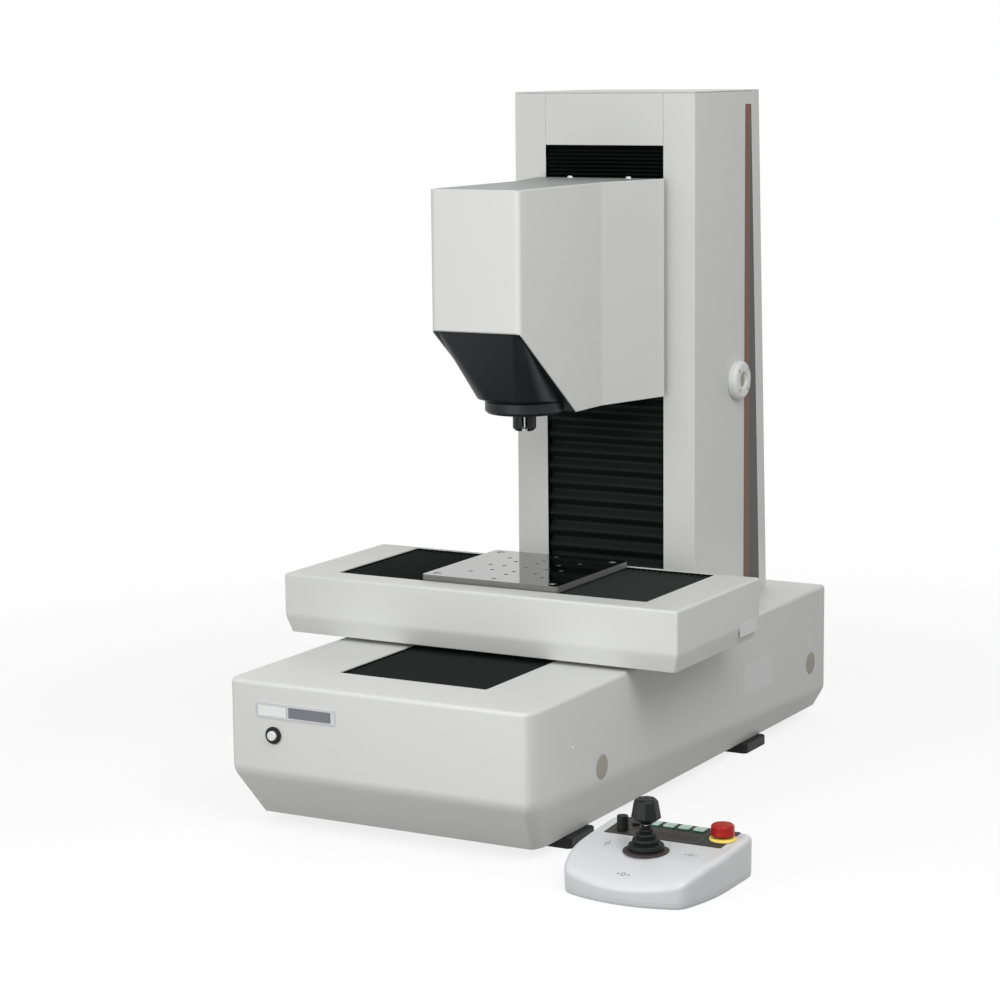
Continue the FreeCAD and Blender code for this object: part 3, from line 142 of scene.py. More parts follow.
def joinSockets(tree, pairs):
    # links each source to its target
    for source, target in pairs:
        tree.links.new(source, target)


def newGroup(name, inputs, outputs):
    # a node group with named inputs, each with its default, and named outputs
    kinds = {"v": "NodeSocketVector", "c": "NodeSocketColor", "f": "NodeSocketFloat"}
    group = bpy.data.node_groups.new(name, "ShaderNodeTree")
    for label, kind, value in inputs:
        socket = group.interface.new_socket(label, in_out="INPUT", socket_type=kinds[kind])
        socket.default_value = value
    for label, kind in outputs:
        group.interface.new_socket(label, in_out="OUTPUT", socket_type=kinds[kind])
    return group, group.nodes.new("NodeGroupInput").outputs, group.nodes.new("NodeGroupOutput").inputs


def grainGroup():
    # two noises: a fine one for height and gloss, and a broad one that tints the colour
    group, entry, leave = newGroup(
        "surfaceGrain",
        [("Position", "v", (0, 0, 0)), ("Colour", "c", (0.5, 0.5, 0.5, 1)), ("Grain Scale", "f", 900),
         ("Tint", "f", 0.04), ("Gloss", "f", 0.4), ("Gloss Spread", "f", 0.06)],
        [("Colour", "c"), ("Roughness", "f"), ("Height", "f")])
    place = entry["Position"]
    fine = addNode(group, "TexNoise", {"Vector": place, "Scale": entry["Grain Scale"], "Detail": grainDetail})
    broad = addNode(group, "TexNoise", {"Vector": place, "Scale": tintScale, "Detail": 2})
    centred = maths(group, "SUBTRACT", broad.outputs["Fac"], 0.5)
    spread = maths(group, "MULTIPLY_ADD", centred, entry["Tint"], 1)
    tinted = addNode(group, "VectorMath", {0: entry["Colour"], "Scale": spread}, operation="SCALE")
    rough = maths(group, "MULTIPLY_ADD", fine.outputs["Fac"], entry["Gloss Spread"], entry["Gloss"])
    joinSockets(group, ((tinted.outputs[0], leave["Colour"]), (rough, leave["Roughness"]),
                        (fine.outputs["Fac"], leave["Height"])))
    return group


def brushedGroup():
    # noise drawn out along one axis, for ground and brushed metal
    group, entry, leave = newGroup(
        "brushedLines",
        [("Position", "v", (0, 0, 0)), ("Stretch", "v", (1, 60, 60)), ("Line Scale", "f", 40),
         ("Gloss", "f", 0.25), ("Gloss Spread", "f", 0.15)],
        [("Line", "f"), ("Roughness", "f")])
    drawn = addNode(group, "VectorMath", {0: entry["Position"], 1: entry["Stretch"]}, operation="MULTIPLY")
    lined = {"Vector": drawn.outputs[0], "Scale": entry["Line Scale"], "Detail": lineDetail}
    noise = addNode(group, "TexNoise", lined)
    rough = maths(group, "MULTIPLY_ADD", noise.outputs["Fac"], entry["Gloss Spread"], entry["Gloss"])
    joinSockets(group, ((noise.outputs["Fac"], leave["Line"]), (rough, leave["Roughness"])))
    return group


surfaceGrain = grainGroup()
brushedLines = brushedGroup()


def linear(colour):
    # a colour read as 0 to 255 on screen, as the light it stands for
    return tuple(float(c) for c in (np.array(colour) / 255) ** 2.2) + (1.0,)


# colour on screen, gloss, grain, bump, tint, then metal and specular where they aren't 0 and 0.5
finishes = {
    "coverPaint": ((216, 217, 215), 0.42, 1400, 0.05, 0.02),
    "castIron": ((88, 90, 92), 0.6, 500, 0.3, 0.2),
    "lightAlloy": ((170, 172, 174), 0.4, 500, 0.15, 0.1, 0.9),
    "motorBlack": ((38, 38, 40), 0.4, 800, 0.1, 0.1),
    "nosePlastic": ((33, 35, 37), 0.34, 1500, 0.1, 0.06, 0, 0.25),
    "blackPlastic": ((24, 25, 26), 0.34, 1200, 0.08, 0.08, 0, 0.25),
    # the lid's grey is the cover paint darkened: painted shade and a painted reflection of the dark bellows
    # above the head
    "lidShadedPaint": ((146, 148, 147), 0.42, 1400, 0.05, 0.02),
    "tableEdge": ((112, 112, 111), 0.5, 700, 0.1, 0.1, 0.5),
    "plugPlastic": ((164, 160, 150), 0.5, 900, 0.08, 0.05),
    "capPlastic": ((226, 227, 227), 0.32, 1200, 0.04, 0.02),
    "casePlastic": ((216, 217, 218), 0.26, 1600, 0.04, 0.02),
    "panelFilm": ((62, 60, 59), 0.36, 1100, 0.06, 0.06, 0, 0.2),
    "flangeRubber": ((58, 50, 49), 0.4, 1100, 0.08, 0.08, 0, 0.3),
    "panelLine": ((104, 99, 95), 0.4, 1100, 0.02, 0.02),
    "printInk": ((60, 60, 62), 0.5, 1100, 0.02, 0.02),
    "buttonTop": ((190, 212, 203), 0.18, 600, 0.03, 0.08),
    "buttonSide": ((34, 84, 70), 0.25, 600, 0.03, 0.08),
    "stopRed": ((164, 28, 20), 0.3, 900, 0.04, 0.06, 0, 0.3),
    "stopYellow": ((255, 226, 112), 0.34, 900, 0.04, 0.05),
    "softRubber": ((24, 25, 25), 0.46, 1000, 0.12, 0.1, 0, 0.25),
    "stripeBrown": ((104, 62, 42), 0.45, 900, 0.03, 0.04),
    "wedgeGrey": ((44, 44, 46), 0.4, 900, 0.04, 0.04),
    "plateWhite": ((232, 232, 230), 0.35, 900, 0.02, 0.02),
    "plateDark": ((112, 116, 120), 0.35, 900, 0.02, 0.04),
    "labelWhite": ((224, 225, 224), 0.45, 900, 0.02, 0.03),
    # near black for the band inside each bellows opening: painted shade of the dark gap round the bellows
    "openingShadeBlack": ((14, 15, 15), 0.7, 900, 0.05, 0.1, 0, 0.1),
}
# colour on screen, gloss and its spread, how the lines are stretched, and their scale
metals = {
    "groundSteel": ((186, 186, 184), 0.16, 0.16, (3, 90, 90), 30),
    "tableMirror": ((142, 142, 141), 0.02, 0.07, (2, 60, 60), 20),
    "railSteel": ((168, 170, 173), 0.25, 0.15, (60, 2, 60), 30),
    "screwSteel": ((205, 206, 206), 0.22, 0.1, (20, 20, 20), 30),
    "plateFrame": ((200, 202, 205), 0.25, 0.12, (3, 90, 90), 30),
}
materials = {}
grainDepth = 0.0005  # metres that the grain's bump stands for


def startMaterial(name):
    # a material's tree, its shader's inputs and the position on the object
    material = bpy.data.materials.new(name)
    material.use_nodes = True
    tree = material.node_tree
    materials[name] = material
    return tree, tree.nodes["Principled BSDF"].inputs, addNode(tree, "TexCoord").outputs["Object"]


def placeGroup(tree, group, position, values):
    # a shared effect in one material, with this material's own values
    node = addNode(tree, "Group", node_tree=group)
    for key, value in values.items():
        node.inputs[key].default_value = value
    tree.links.new(position, node.inputs["Position"])
    return node.outputs


def joinGrain(tree, shader, grain, bump):
    # the grain's colour and gloss, and a bump, into the shader
    joinSockets(tree, ((grain["Colour"], shader["Base Color"]), (grain["Roughness"], shader["Roughness"]),
                       (bump.outputs["Normal"], shader["Normal"])))


def grainMaterial(name, colour, gloss, grainScale, height, tint, metal=0.0, specular=0.5):
    # one colour under the shared grain, which also raises the surface a little
    tree, shader, position = startMaterial(name)
    values = {"Colour": linear(colour), "Grain Scale": grainScale, "Tint": tint, "Gloss": gloss}
    grain = placeGroup(tree, surfaceGrain, position, values)
    joinGrain(tree, shader, grain,
              addNode(tree, "Bump", {"Strength": height, "Distance": grainDepth, "Height": grain["Height"]}))
    shader["Metallic"].default_value = metal
    shader["Specular IOR Level"].default_value = specular


def metalMaterial(name, colour, gloss, spread, stretch, scale, dark=0.82):
    # metal between its colour and a darker one, along the brushed lines
    tree, shader, position = startMaterial(name)
    values = {"Stretch": stretch, "Line Scale": scale, "Gloss": gloss, "Gloss Spread": spread}
    lines = placeGroup(tree, brushedLines, position, values)
    bright = linear(colour)
    tint = addNode(tree, "Mix", data_type="RGBA")
    tint.inputs["A"].default_value = tuple(dark * c for c in bright[:3]) + (1,)
    tint.inputs["B"].default_value = bright
    joinSockets(tree, ((lines["Line"], tint.inputs["Factor"]), (tint.outputs["Result"], shader["Base Color"]),
                       (lines["Roughness"], shader["Roughness"])))
    shader["Metallic"].default_value = 1.0


clothSpec = {"colour": (31, 33, 33), "weave": 420, "waver": 0.3, "gloss": 0.46, "tint": 0.25, "height": 0.25,
             "depth": 0.0004, "specular": 0.12}


def clothMaterial(name, spec):
    # a fine plain weave on the folds: two crossed sine waves
    tree, shader, position = startMaterial(name)
    values = {"Colour": linear(spec["colour"]), "Gloss": spec["gloss"], "Tint": spec["tint"]}
    grain = placeGroup(tree, surfaceGrain, position, values)
    weave = {"Scale": spec["weave"], "Distortion": spec["waver"], "Vector": position}
    waves = [addNode(tree, "TexWave", weave, bands_direction=way).outputs["Fac"] for way in ("X", "Z")]
    both = maths(tree, "ADD", *waves)
    joinGrain(tree, shader, grain,
              addNode(tree, "Bump", {"Strength": spec["height"], "Distance": spec["depth"], "Height": both}))
    shader["Specular IOR Level"].default_value = spec["specular"]


for finishName, finishSpec in finishes.items():
    grainMaterial(finishName, *finishSpec)
for finishName, finishSpec in metals.items():
    metalMaterial(finishName, *finishSpec)
clothMaterial("bellowsCloth", clothSpec)
print("materials made:", len(materials))


# mesh tools

def finishMesh(name, bm, body, material, replaced=(), sharp=32):
    # a mesh as a smooth piece whose edges steeper than sharp, in degrees, stay hard
    mesh = bpy.data.meshes.new(name)
    bm.to_mesh(mesh)
    bm.free()
    mesh.polygons.foreach_set("use_smooth", np.ones(len(mesh.polygons), bool))
    mesh.set_sharp_from_angle(angle=math.radians(sharp))
    mesh.materials.append(materials[material])
    piece = newObject(name, mesh)
    if body:
        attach(piece, body)
    if replaced:
        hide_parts(*replaced)
    return piece


def meshOf(points, faces, caps=()):
    # points and faces as one mesh, its doubles merged and its faces outwards
    mesh = bpy.data.meshes.new("work")
    corners = [tuple(face) for face in faces] + [tuple(cap) for cap in caps]
    mesh.from_pydata(np.asarray(points, float).reshape(-1, 3), [], corners)
    bm = bmesh.new()
    bm.from_mesh(mesh)
    bpy.data.meshes.remove(mesh)
    bmesh.ops.remove_doubles(bm, verts=bm.verts, dist=1e-6)
    bmesh.ops.recalc_face_normals(bm, faces=bm.faces)
    return bm


def ringQuads(rows, across, closed=True):
    # quads between neighbouring rows of points, round each row
    r, c = np.meshgrid(np.arange(rows - 1), np.arange(across if closed else across - 1), indexing="ij")
    n = (c + 1) % across
    quads = np.stack([r * across + c, r * across + n, (r + 1) * across + n, (r + 1) * across + c], -1)
    return quads.reshape(-1, 4)


def roundedPath(rows, cuts, steps=4, hold=1.6):
    # a path of corners, each cut by its own length and bridged by a quadratic curve, with a hold line beyond
    rows = np.asarray(rows, float)
    steps = np.linspace(0, 1, steps + 1)[:, None]
    out = [rows[:1]]
    for i in range(1, len(rows) - 1):
        if not cuts[i]:
            out.append(rows[i:i + 1])
            continue
        reach = [np.linalg.norm(rows[j] - rows[i]) for j in (i - 1, i + 1)]
        limits = [min(cuts[i] * k, r * 0.49) for r in reach for k in (1, hold)]
        back, ahead = (rows[i - 1] - rows[i]) / reach[0], (rows[i + 1] - rows[i]) / reach[1]
        start, end = rows[i] + back * limits[0], rows[i] + ahead * limits[2]
        curve = (1 - steps) ** 2 * start + 2 * steps * (1 - steps) * rows[i] + steps ** 2 * end
        out += [rows[i:i + 1] + back * limits[1], curve, rows[i:i + 1] + ahead * limits[3]]
    out.append(rows[-1:])
    return np.concatenate(out)


def rectRings(rows, perCorner=8):
    # each row is left, right, front, rear, corner radius, height; a ring follows its rounded rectangle
    rows = np.asarray(rows, float)
    left, right, front, rear, radius, height = rows.T
    angle = np.radians(np.concatenate([np.linspace(s, s + 90, perCorner + 1) for s in (-90, 0, 90, 180)]))
    corner = np.repeat(np.arange(4), perCorner + 1)
    cx = np.stack([right - radius, right - radius, left + radius, left + radius])[corner].T
    cy = np.stack([front + radius, rear - radius, rear - radius, front + radius])[corner].T
    x = cx + radius[:, None] * np.cos(angle)
    y = cy + radius[:, None] * np.sin(angle)
    return np.stack([x, y, np.broadcast_to(height[:, None], x.shape)], -1)


def loftRects(rows, cuts=None, perCorner=8, steps=4, capStart=False, capEnd=False, origin=datum, turn=None):
    # rounded rectangles joined in order, with a softened row wherever a cut is given
    rows = roundedPath(rows, cuts, steps) if cuts else np.asarray(rows, float)
    rings = rectRings(rows, perCorner)
    if turn is not None:
        rings = rings @ np.array(turn).T
    count, across = rings.shape[:2]
    caps = []
    if capStart:
        caps.append(range(across))
    if capEnd:
        caps.append(range((count - 1) * across, count * across))
    return meshOf(inMachine(rings, origin), ringQuads(count, across), caps)


def turned(profile, cuts, centre, axis="z", segments=72, steps=4, origin=datum):
    # a profile of radius and height carried round an axis
    profile = roundedPath(profile, cuts, steps)
    angle = np.linspace(0, 2 * math.pi, segments, endpoint=False)
    radius, height = profile[:, 0][:, None], profile[:, 1][:, None]
    across, up = radius * np.cos(angle), radius * np.sin(angle)
    along = np.broadcast_to(height, across.shape)
    order = {"z": (across, up, along), "y": (across, -along, up), "x": (along, across, up)}[axis]
    points = np.stack(order, -1) + np.asarray(centre, float)
    return meshOf(inMachine(points, origin), ringQuads(len(profile), segments))


def raised(outline, height):
    # a flat outline at one height, or at a height for each point
    return np.column_stack([outline, np.broadcast_to(np.asarray(height, float), len(outline))])


def inwardOf(along):
    # unit vectors at a right angle to a path's directions, to their left
    return np.stack([-along[:, 1], along[:, 0]], -1) / np.linalg.norm(along, axis=1)[:, None]


def roundEdge(edge, count):
    # inset and drop along a quarter circle, from the upright side to the level one
    turns = np.radians(np.linspace(0, 90, count))
    return [(edge * (1 - math.cos(a)), edge * (1 - math.sin(a))) for a in turns]


def prism(low, high):
    # a solid between two outlines of four corners
    sides = [(i, (i + 1) % 4, 4 + (i + 1) % 4, 4 + i) for i in range(4)]
    return meshOf(inMachine(np.concatenate([low, high])), sides, [range(4), range(4, 8)])


def edged(piece, width, segments=2, limit=30):
    # rounds the sharp edges, and keeps the flats flat
    bevel = piece.modifiers.new("softEdges", "BEVEL")
    bevel.width, bevel.segments = width / 1000, segments
    bevel.limit_method, bevel.angle_limit = "ANGLE", math.radians(limit)
    bevel.harden_normals = True
    bevel.miter_outer = "MITER_ARC"


def boxOf(node):
    # a node's lowest and highest corners, in millimetres of the row frame
    return (np.array(corner) * 1000 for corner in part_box(node))


# nodes with a hole right through a flat face, which keep their triangles
pierced = {"base_casting", "column_casting", "stage_saddle", "head_frame", "column_rear_cover",
           "head_bottom_cover"}
flatWithin = 0.4  # degrees


def dressed(node, material, width, drop=0):
    # the CAD piece itself, merged and with softened edges, in its place
    source = frame["nodes"][node]
    bm = bmesh.new()
    bm.from_mesh(source.data)
    bmesh.ops.remove_doubles(bm, verts=bm.verts, dist=1e-6)
    if node not in pierced:
        bmesh.ops.dissolve_limit(bm, angle_limit=math.radians(flatWithin), verts=bm.verts, edges=bm.edges)
    bmesh.ops.recalc_face_normals(bm, faces=bm.faces)
    if drop:
        bmesh.ops.translate(bm, verts=bm.verts, vec=(0, 0, -drop / 1000))
    piece = finishMesh(node + "Dressed", bm, source["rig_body"], material, (node,))
    edged(piece, width)
    return piece


# bed and stage covers: each one lofted skin, from its foot to the lip of the bellows opening

bedCover = {
    "name": "bedCover", "body": "root", "node": "base_cover",
    "half": 300, "front": 0, "rear": 1250, "top": 249.4, "bottom": 0, "crease": (87, 38),
    "insets": (21.1, 62.4, 5), "frontCorner": (16, 42), "rearCorner": (8, 8), "edge": 7, "soft": (0.14, 11),
    "opening": (-148, 148, 124, 850), "foot": None, "lip": 2.4, "liner": 15,
}
stageCover = {
    "name": "stageCover", "body": "y_stage", "node": "stage_cover",
    "half": 403, "front": 340.8, "rear": 689.6, "top": 367.8, "bottom": 256.9, "crease": (289, 289),
    "insets": (9, 9, 9), "frontCorner": (4, 4), "rearCorner": (4, 4), "edge": 4.5, "soft": (0.18, 5),
    "opening": (-318, 318, 393, 683), "foot": (-140, 140, 400, 630), "lip": 2.0, "liner": 15,
}
# rows of inset and rise at the foot, and of growth and drop at the opening
coverEdges = {
    "foot": ((1.6, 0), (0.8, 0), (0.25, 0.25), (0, 0.8), (0, 1.8)),
    "lip": ((1.6, 0), (0.7, 0), (0.2, 0.2), (0, 0.7)),
    "hem": (4, 14), "hold": 1.5, "rows": 8, "openingCorner": 3, "shadeLinerGrow": (1.2, -0.1),
}


def cornerRing(left, right, front, rear, frontCorner, rearCorner, perCorner=10):
    # a rectangle whose corners are quarter ellipses, as two columns
    angle = np.radians(np.linspace(0, 90, perCorner + 1))
    c, s = np.cos(angle), np.sin(angle)
    (fx, fy), (rx, ry) = frontCorner, rearCorner
    return np.concatenate([
        np.column_stack([right - fx + fx * s, front + fy - fy * c]),
        np.column_stack([right - rx + rx * c, rear - ry + ry * s]),
        np.column_stack([left + rx - rx * s, rear - ry + ry * c]),
        np.column_stack([left + fx - fx * c, front + fy - fy * s])])


def plainRing(rect, grow, height, corner):
    # a rounded rectangle grown on all sides, at one height
    left, right, front, rear = rect
    corners = (corner + grow, corner + grow)
    spot = cornerRing(left - grow, right + grow, front - grow, rear + grow, corners, corners)
    return raised(spot, height)


def makeCover(spec, edges):
    # rings from the foot up: the skirt leans in below a crease that falls to the rear, the wall is upright,
    # and the deck runs in to the opening
    (side, near, far), (creaseFront, creaseRear) = spec["insets"], spec["crease"]
    low, top, edge, corner = spec["bottom"], spec["top"], spec["edge"], edges["openingCorner"]
    rings = []

    def crease(y):
        return creaseFront + (creaseRear - creaseFront) * (y - spec["front"]) / (spec["rear"] - spec["front"])

    def ring(inset, share, height):
        # share is 0 at the crease and 1 at the foot of the skirt
        corners = [tuple(max(r - inset, 0.6) for r in spec[k]) for k in ("frontCorner", "rearCorner")]
        spot = cornerRing(-spec["half"] + inset + share * side, spec["half"] - inset - share * side,
                          spec["front"] + inset + share * near, spec["rear"] - inset - share * far, *corners)
        rings.append(raised(spot, height(spot[:, 1]) if callable(height) else height))

    if spec["foot"]:
        rings.append(plainRing(spec["foot"], 0, low, corner))
    else:
        hemInset, hemRise = edges["hem"]
        ring(hemInset, 1, low + hemRise)
        ring(hemInset, 1, low)
    for inset, rise in edges["foot"]:
        share = 1 - rise / (creaseFront - low)
        ring(inset, share, lambda y, s=share: low + (crease(y) - low) * (1 - s))
    tail, rise = spec["soft"]
    # quadratic curve over the crease: leaves the skirt at its share, meets the wall at its rise
    for k in np.linspace(0, 1, edges["rows"]):
        share = (1 - k) ** 2 * tail
        ring(0, share, lambda y, k=k, s=share: low + (crease(y) - low) * (1 - s) + k * k * rise)
    ring(0, 0, lambda y: crease(y) + rise + edges["hold"])
    ring(0, 0, top - edge - edges["hold"])
    for inset, drop in roundEdge(edge, edges["rows"]):
        ring(inset, 0, top - drop)
    ring(edge + edges["hold"], 0, top)
    rings += [plainRing(spec["opening"], grow, top - drop, corner)
              for grow, drop in edges["lip"] + ((0, spec["lip"]),)]
    count, across = len(rings), len(rings[0])
    bm = meshOf(inMachine(np.concatenate(rings)), ringQuads(count, across))
    finishMesh(spec["name"], bm, spec["body"], "coverPaint", (spec["node"],), sharp=40)
    # a near-black band down the inside of the opening, below the lip: painted shade of the gap where the
    # bellows run in
    wide, tight = edges["shadeLinerGrow"]
    liner = [plainRing(spec["opening"], grow, top - drop, corner)
             for grow, drop in ((wide, spec["lip"]), (tight, spec["lip"]), (tight, spec["liner"]))]
    bm = meshOf(inMachine(np.concatenate(liner)), ringQuads(len(liner), across))
    finishMesh(spec["name"] + "Liner", bm, spec["body"], "openingShadeBlack", sharp=40)


makeCover(bedCover, coverEdges)
makeCover(stageCover, coverEdges)
print("covers lofted")


# bellows: a rounded zigzag of cloth, closed at its sides

# node, direction, bodies at its two ends, pleats, and how deep each one folds in mm
bellowsSets = {
    "bellowsFront": ("y_bellows_front", "y", ("root", "y_stage"), 17, 10),
    "bellowsRear": ("y_bellows_rear", "y", ("y_stage", "root"), 12, 10),
    "bellowsLeft": ("x_bellows_left", "x", ("y_stage", "x_table"), 17, 9),
    "bellowsRight": ("x_bellows_right", "x", ("x_table", "y_stage"), 17, 9),
    "bellowsUpper": ("z_bellows_upper", "z", ("z_head", "root"), 10, 10),
    "bellowsLower": ("z_bellows_lower", "z", ("root", "z_head"), 14, 12),
}
pleatShape = {"perPleat": 10, "across": 9, "tip": 0.94, "sideDepth": 1.25}


def makeBellows(name, node, direction, bodies, pleats, fold, shape):
    # rows of points along the travel, each as deep as the fold's wave says, with both sides turned in
    low, high = (np.array(v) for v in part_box(node))
    along = "xyz".index(direction)
    outward = 1 if direction == "z" else 2  # the axis that the crests face
    width = 3 - along - outward
    across, tip = shape["across"], shape["tip"]
    t = np.linspace(0, 1, pleats * shape["perPleat"] + 1)
    # the fold's height: a triangle wave with its tips softened
    wave = np.arcsin(tip * np.sin(2 * math.pi * pleats * t - math.pi / 2)) / math.asin(tip)
    crest = high[2] if outward == 2 else low[1]
    inward = -1 if outward == 2 else 1
    points = np.zeros((len(t), across + 2, 3))
    depth = (0.5 - 0.5 * wave) * fold / 1000
    points[..., along] = (low[along] + t * (high[along] - low[along]))[:, None]
    middle, half = (low[width] + high[width]) / 2, (high[width] - low[width]) / 2
    points[:, 1:-1, width] = middle + np.linspace(-1, 1, across) * half
    points[:, 1:-1, outward] = crest + inward * depth[:, None]
    points[:, 0, width], points[:, -1, width] = middle - half, middle + half
    points[:, (0, -1), outward] = crest + inward * fold * shape["sideDepth"] / 1000
    bm = meshOf(points, ringQuads(len(t), across + 2, closed=False))
    piece = finishMesh(name, bm, None, "bellowsCloth", (node,), sharp=70)
    if (piece.data.polygons[len(piece.data.polygons) // 2].normal[outward] > 0) != (outward == 2):
        piece.data.flip_normals()
    start, end = list((low + high) / 2), list((low + high) / 2)
    start[along], end[along] = float(low[along]), float(high[along])
    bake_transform(piece)


for bellowsName, bellowsSpec in bellowsSets.items():
    makeBellows(bellowsName, *bellowsSpec, pleatShape)
print("bellows pleated")


# nose: four flat walls with conical corners, then the collar and the guard

noseSpec = {
    "half": 87.5, "front": 361.3, "rear": 620.3, "brimRadius": 15, "top": 830, "brimWall": 6,
    "footHalf": 71, "footFront": 453, "footRear": 621, "footRadius": 49, "foot": 696,
    "centre": 537, "collar": 72, "collarTop": 690, "collarLow": 667, "collarEdge": 5,
    "bore": 12.5, "boreDepth": 12, "throat": 60,
    "plateHalf": 88.2, "plate": ((361.4, 828.2), (568.5, 670.2)), "plateThick": 3,
}


def makeNose(spec):
    # rounded rectangles from the brim to the foot, joined by straight lines and a small curve into the collar
    half, foot, mid, r = spec["half"], spec["footHalf"], spec["centre"], spec["collar"]
    wall, neck, throat = spec["brimWall"], spec["collar"] - 2.5, spec["throat"]
    front, rear, brim, top = spec["front"], spec["rear"], spec["brimRadius"], spec["top"]
    rows = [
        (-half + wall, half - wall, front + wall, rear - wall, brim - wall, top),
        (-half, half, front, rear, brim, top),
        (-foot, foot, spec["footFront"], spec["footRear"], spec["footRadius"], spec["foot"]),
        (-neck, neck, mid - neck, mid + neck, neck - 0.5, spec["collarTop"]),
        (-throat, throat, mid - throat, mid + throat, throat - 1, spec["collarTop"] - 0.5),
    ]
    bm = loftRects(rows, (0, 0.8, 4, 1, 0), perCorner=16, steps=6)
    finishMesh("noseCone", bm, "z_head", "nosePlastic", ("nose_cone",), sharp=24)
    low, bore, edge = spec["collarLow"], spec["bore"], spec["collarEdge"]
    profile = [(bore, low + spec["boreDepth"]), (bore, low), (r - edge, low), (r, low + edge),
               (r, spec["collarTop"] - 1), (r - 2, spec["collarTop"] + 0.5)]
    ring = turned(profile, (0, 0.8, 1.2, 1.2, 1, 0), (0, mid, 0), segments=96)
    finishMesh("noseCollar", ring, "z_head", "nosePlastic", sharp=30)
    # a thin plate closes the head's slanting cut round the nose
    (y0, z0), (y1, z1) = spec["plate"]
    slope = math.hypot(y1 - y0, z1 - z0)
    normal = np.array([0, (z1 - z0) / slope, -(y1 - y0) / slope])
    side = spec["plateHalf"]
    ring = np.array([(-side, y0, z0), (side, y0, z0), (side, y1, z1), (-side, y1, z1)])
    bm = prism(ring, ring - normal * spec["plateThick"])
    edged(finishMesh("nosePlate", bm, "z_head", "nosePlastic"), 0.4)


makeNose(noseSpec)
dressed("indenter_guard", "blackPlastic", 0.7, drop=3)

# head cover: an open U in plan with rounded front corners, cut off slanting below
headSpec = {
    "front": 358.7, "half": 90.4, "flare": 671, "rear": 843, "rearHalf": 135, "corner": 11, "bend": 5,
    "top": 1080, "bottom": 669, "knee": 570, "cutStart": 361.3, "cutHeight": 828.5, "wall": 2.5, "edge": 1.8,
    "hold": 1.2, "hemRows": ((0.5, 0), (0, 0.5), (0, 2)),  # inset and rise
}


def makeHead(spec):
    # rings of the plan, each moved in by an inset: from the slanting lower edge up, over the top, and back
    h, w = spec["half"], spec["rearHalf"]
    path = [(-w, spec["rear"]), (-h, spec["flare"]), (-h, spec["knee"]), (-h, spec["front"]),
            (h, spec["front"]), (h, spec["knee"]), (h, spec["flare"]), (w, spec["rear"])]
    bend, corner = spec["bend"], spec["corner"]
    plan = roundedPath(path, (0, bend, 0, corner, corner, 0, bend, 0), steps=10, hold=1.25)
    inward = inwardOf(np.gradient(plan, axis=0))
    slope = (spec["cutHeight"] - spec["bottom"]) / (spec["knee"] - spec["cutStart"])
    wall, edge, top = spec["wall"], spec["edge"], spec["top"]
    rings = []
    for inset, rise in ((wall, 0),) + spec["hemRows"]:
        # the lower edge falls along the cut and is level behind the knee
        spot = plan + inward * inset
        low = np.maximum(spec["cutHeight"] - (spot[:, 1] - spec["cutStart"]) * slope, spec["bottom"])
        rings.append(raised(spot, low + rise))
    for inset, drop in [(0, edge + spec["hold"])] + roundEdge(edge, 5) + [(wall, 0)]:
        rings.append(raised(plan + inward * inset, top - drop))
    rings.append(rings[0])
    count, across = len(rings), len(plan)
    ends = [[i * across + k for i in range(count - 1)] for k in (0, across - 1)]
    bm = meshOf(inMachine(np.concatenate(rings)), ringQuads(count, across, closed=False), ends)
    finishMesh("headShell", bm, "z_head", "coverPaint", ("head_cover",), sharp=26)


makeHead(headSpec)

# pieces kept from the frame: each material's nodes, and how wide their edges are rounded, in mm
kept = {
    "coverPaint": {"column_right_cover": 0.9, "column_left_cover": 0.9, "column_front_cover": 0.7,
                   "column_rear_cover": 1.2},
    # the head's lid takes the darkened cover paint, a painted reflection of the dark bellows
    "lidShadedPaint": {"head_top_cover": 0.5},
    "nosePlastic": {"head_bottom_cover": 0.5},
    "lightAlloy": {"table_carriage": 0.8, "head_frame": 0.8},
    "castIron": {"base_casting": 1.5, "column_casting": 1.5, "stage_saddle": 1.2},
    "railSteel": {"y_rails": 0.6, "x_rails": 0.6, "z_rails": 0.6, "y_carriages": 0.8, "x_carriages": 0.8,
                  "z_carriages": 0.8, "y_screw": 0.5, "x_screw": 0.5, "z_screw": 0.5, "joystick_gimbal": 0.4,
                  "joystick_stick": 0.4},
    "motorBlack": {"y_motor": 1.0, "x_motor": 1.0, "z_motor": 1.0, "load_actuator": 1.2},
    "softRubber": {"levelling_feet": 1.5},
    "blackPlastic": {"mains_inlet": 0.6, "power_bezel": 0.8, "speed_knob": 1.0, "mode_button": 0.8,
                     "e_stop_stem": 0.4, "joystick_knob": 1.6},
    "plateFrame": {"nameplate": 0.3},
    "screwSteel": {"indenter": 0.4},
    "groundSteel": {"loading_spindle": 0.6},
    "tableMirror": {"table_plate": 0.5},
}
keptPieces = {}
for keptMaterial, keptNodes in kept.items():
    for keptNode, keptWidth in keptNodes.items():
        keptPieces[keptNode] = dressed(keptNode, keptMaterial, keptWidth)
print("frame pieces dressed:", len(keptPieces))


def matSides(piece, material, upright=0.5):
    # faces that don't look up or down take a second material
    mesh = piece.data
    mesh.materials.append(materials[material])
    normals = np.zeros(len(mesh.polygons) * 3)
    mesh.polygons.foreach_get("normal", normals)
    mesh.polygons.foreach_set("material_index", (np.abs(normals[2::3]) < upright).astype(int))


matSides(keptPieces["table_plate"], "tableEdge")


# round trim: side plugs, column cap, power button

plugSpec = {"x": (296, 300.2, 301.4), "radii": (19, 22.3), "places": {"Front": 257, "Rear": 1174}, "z": 102}


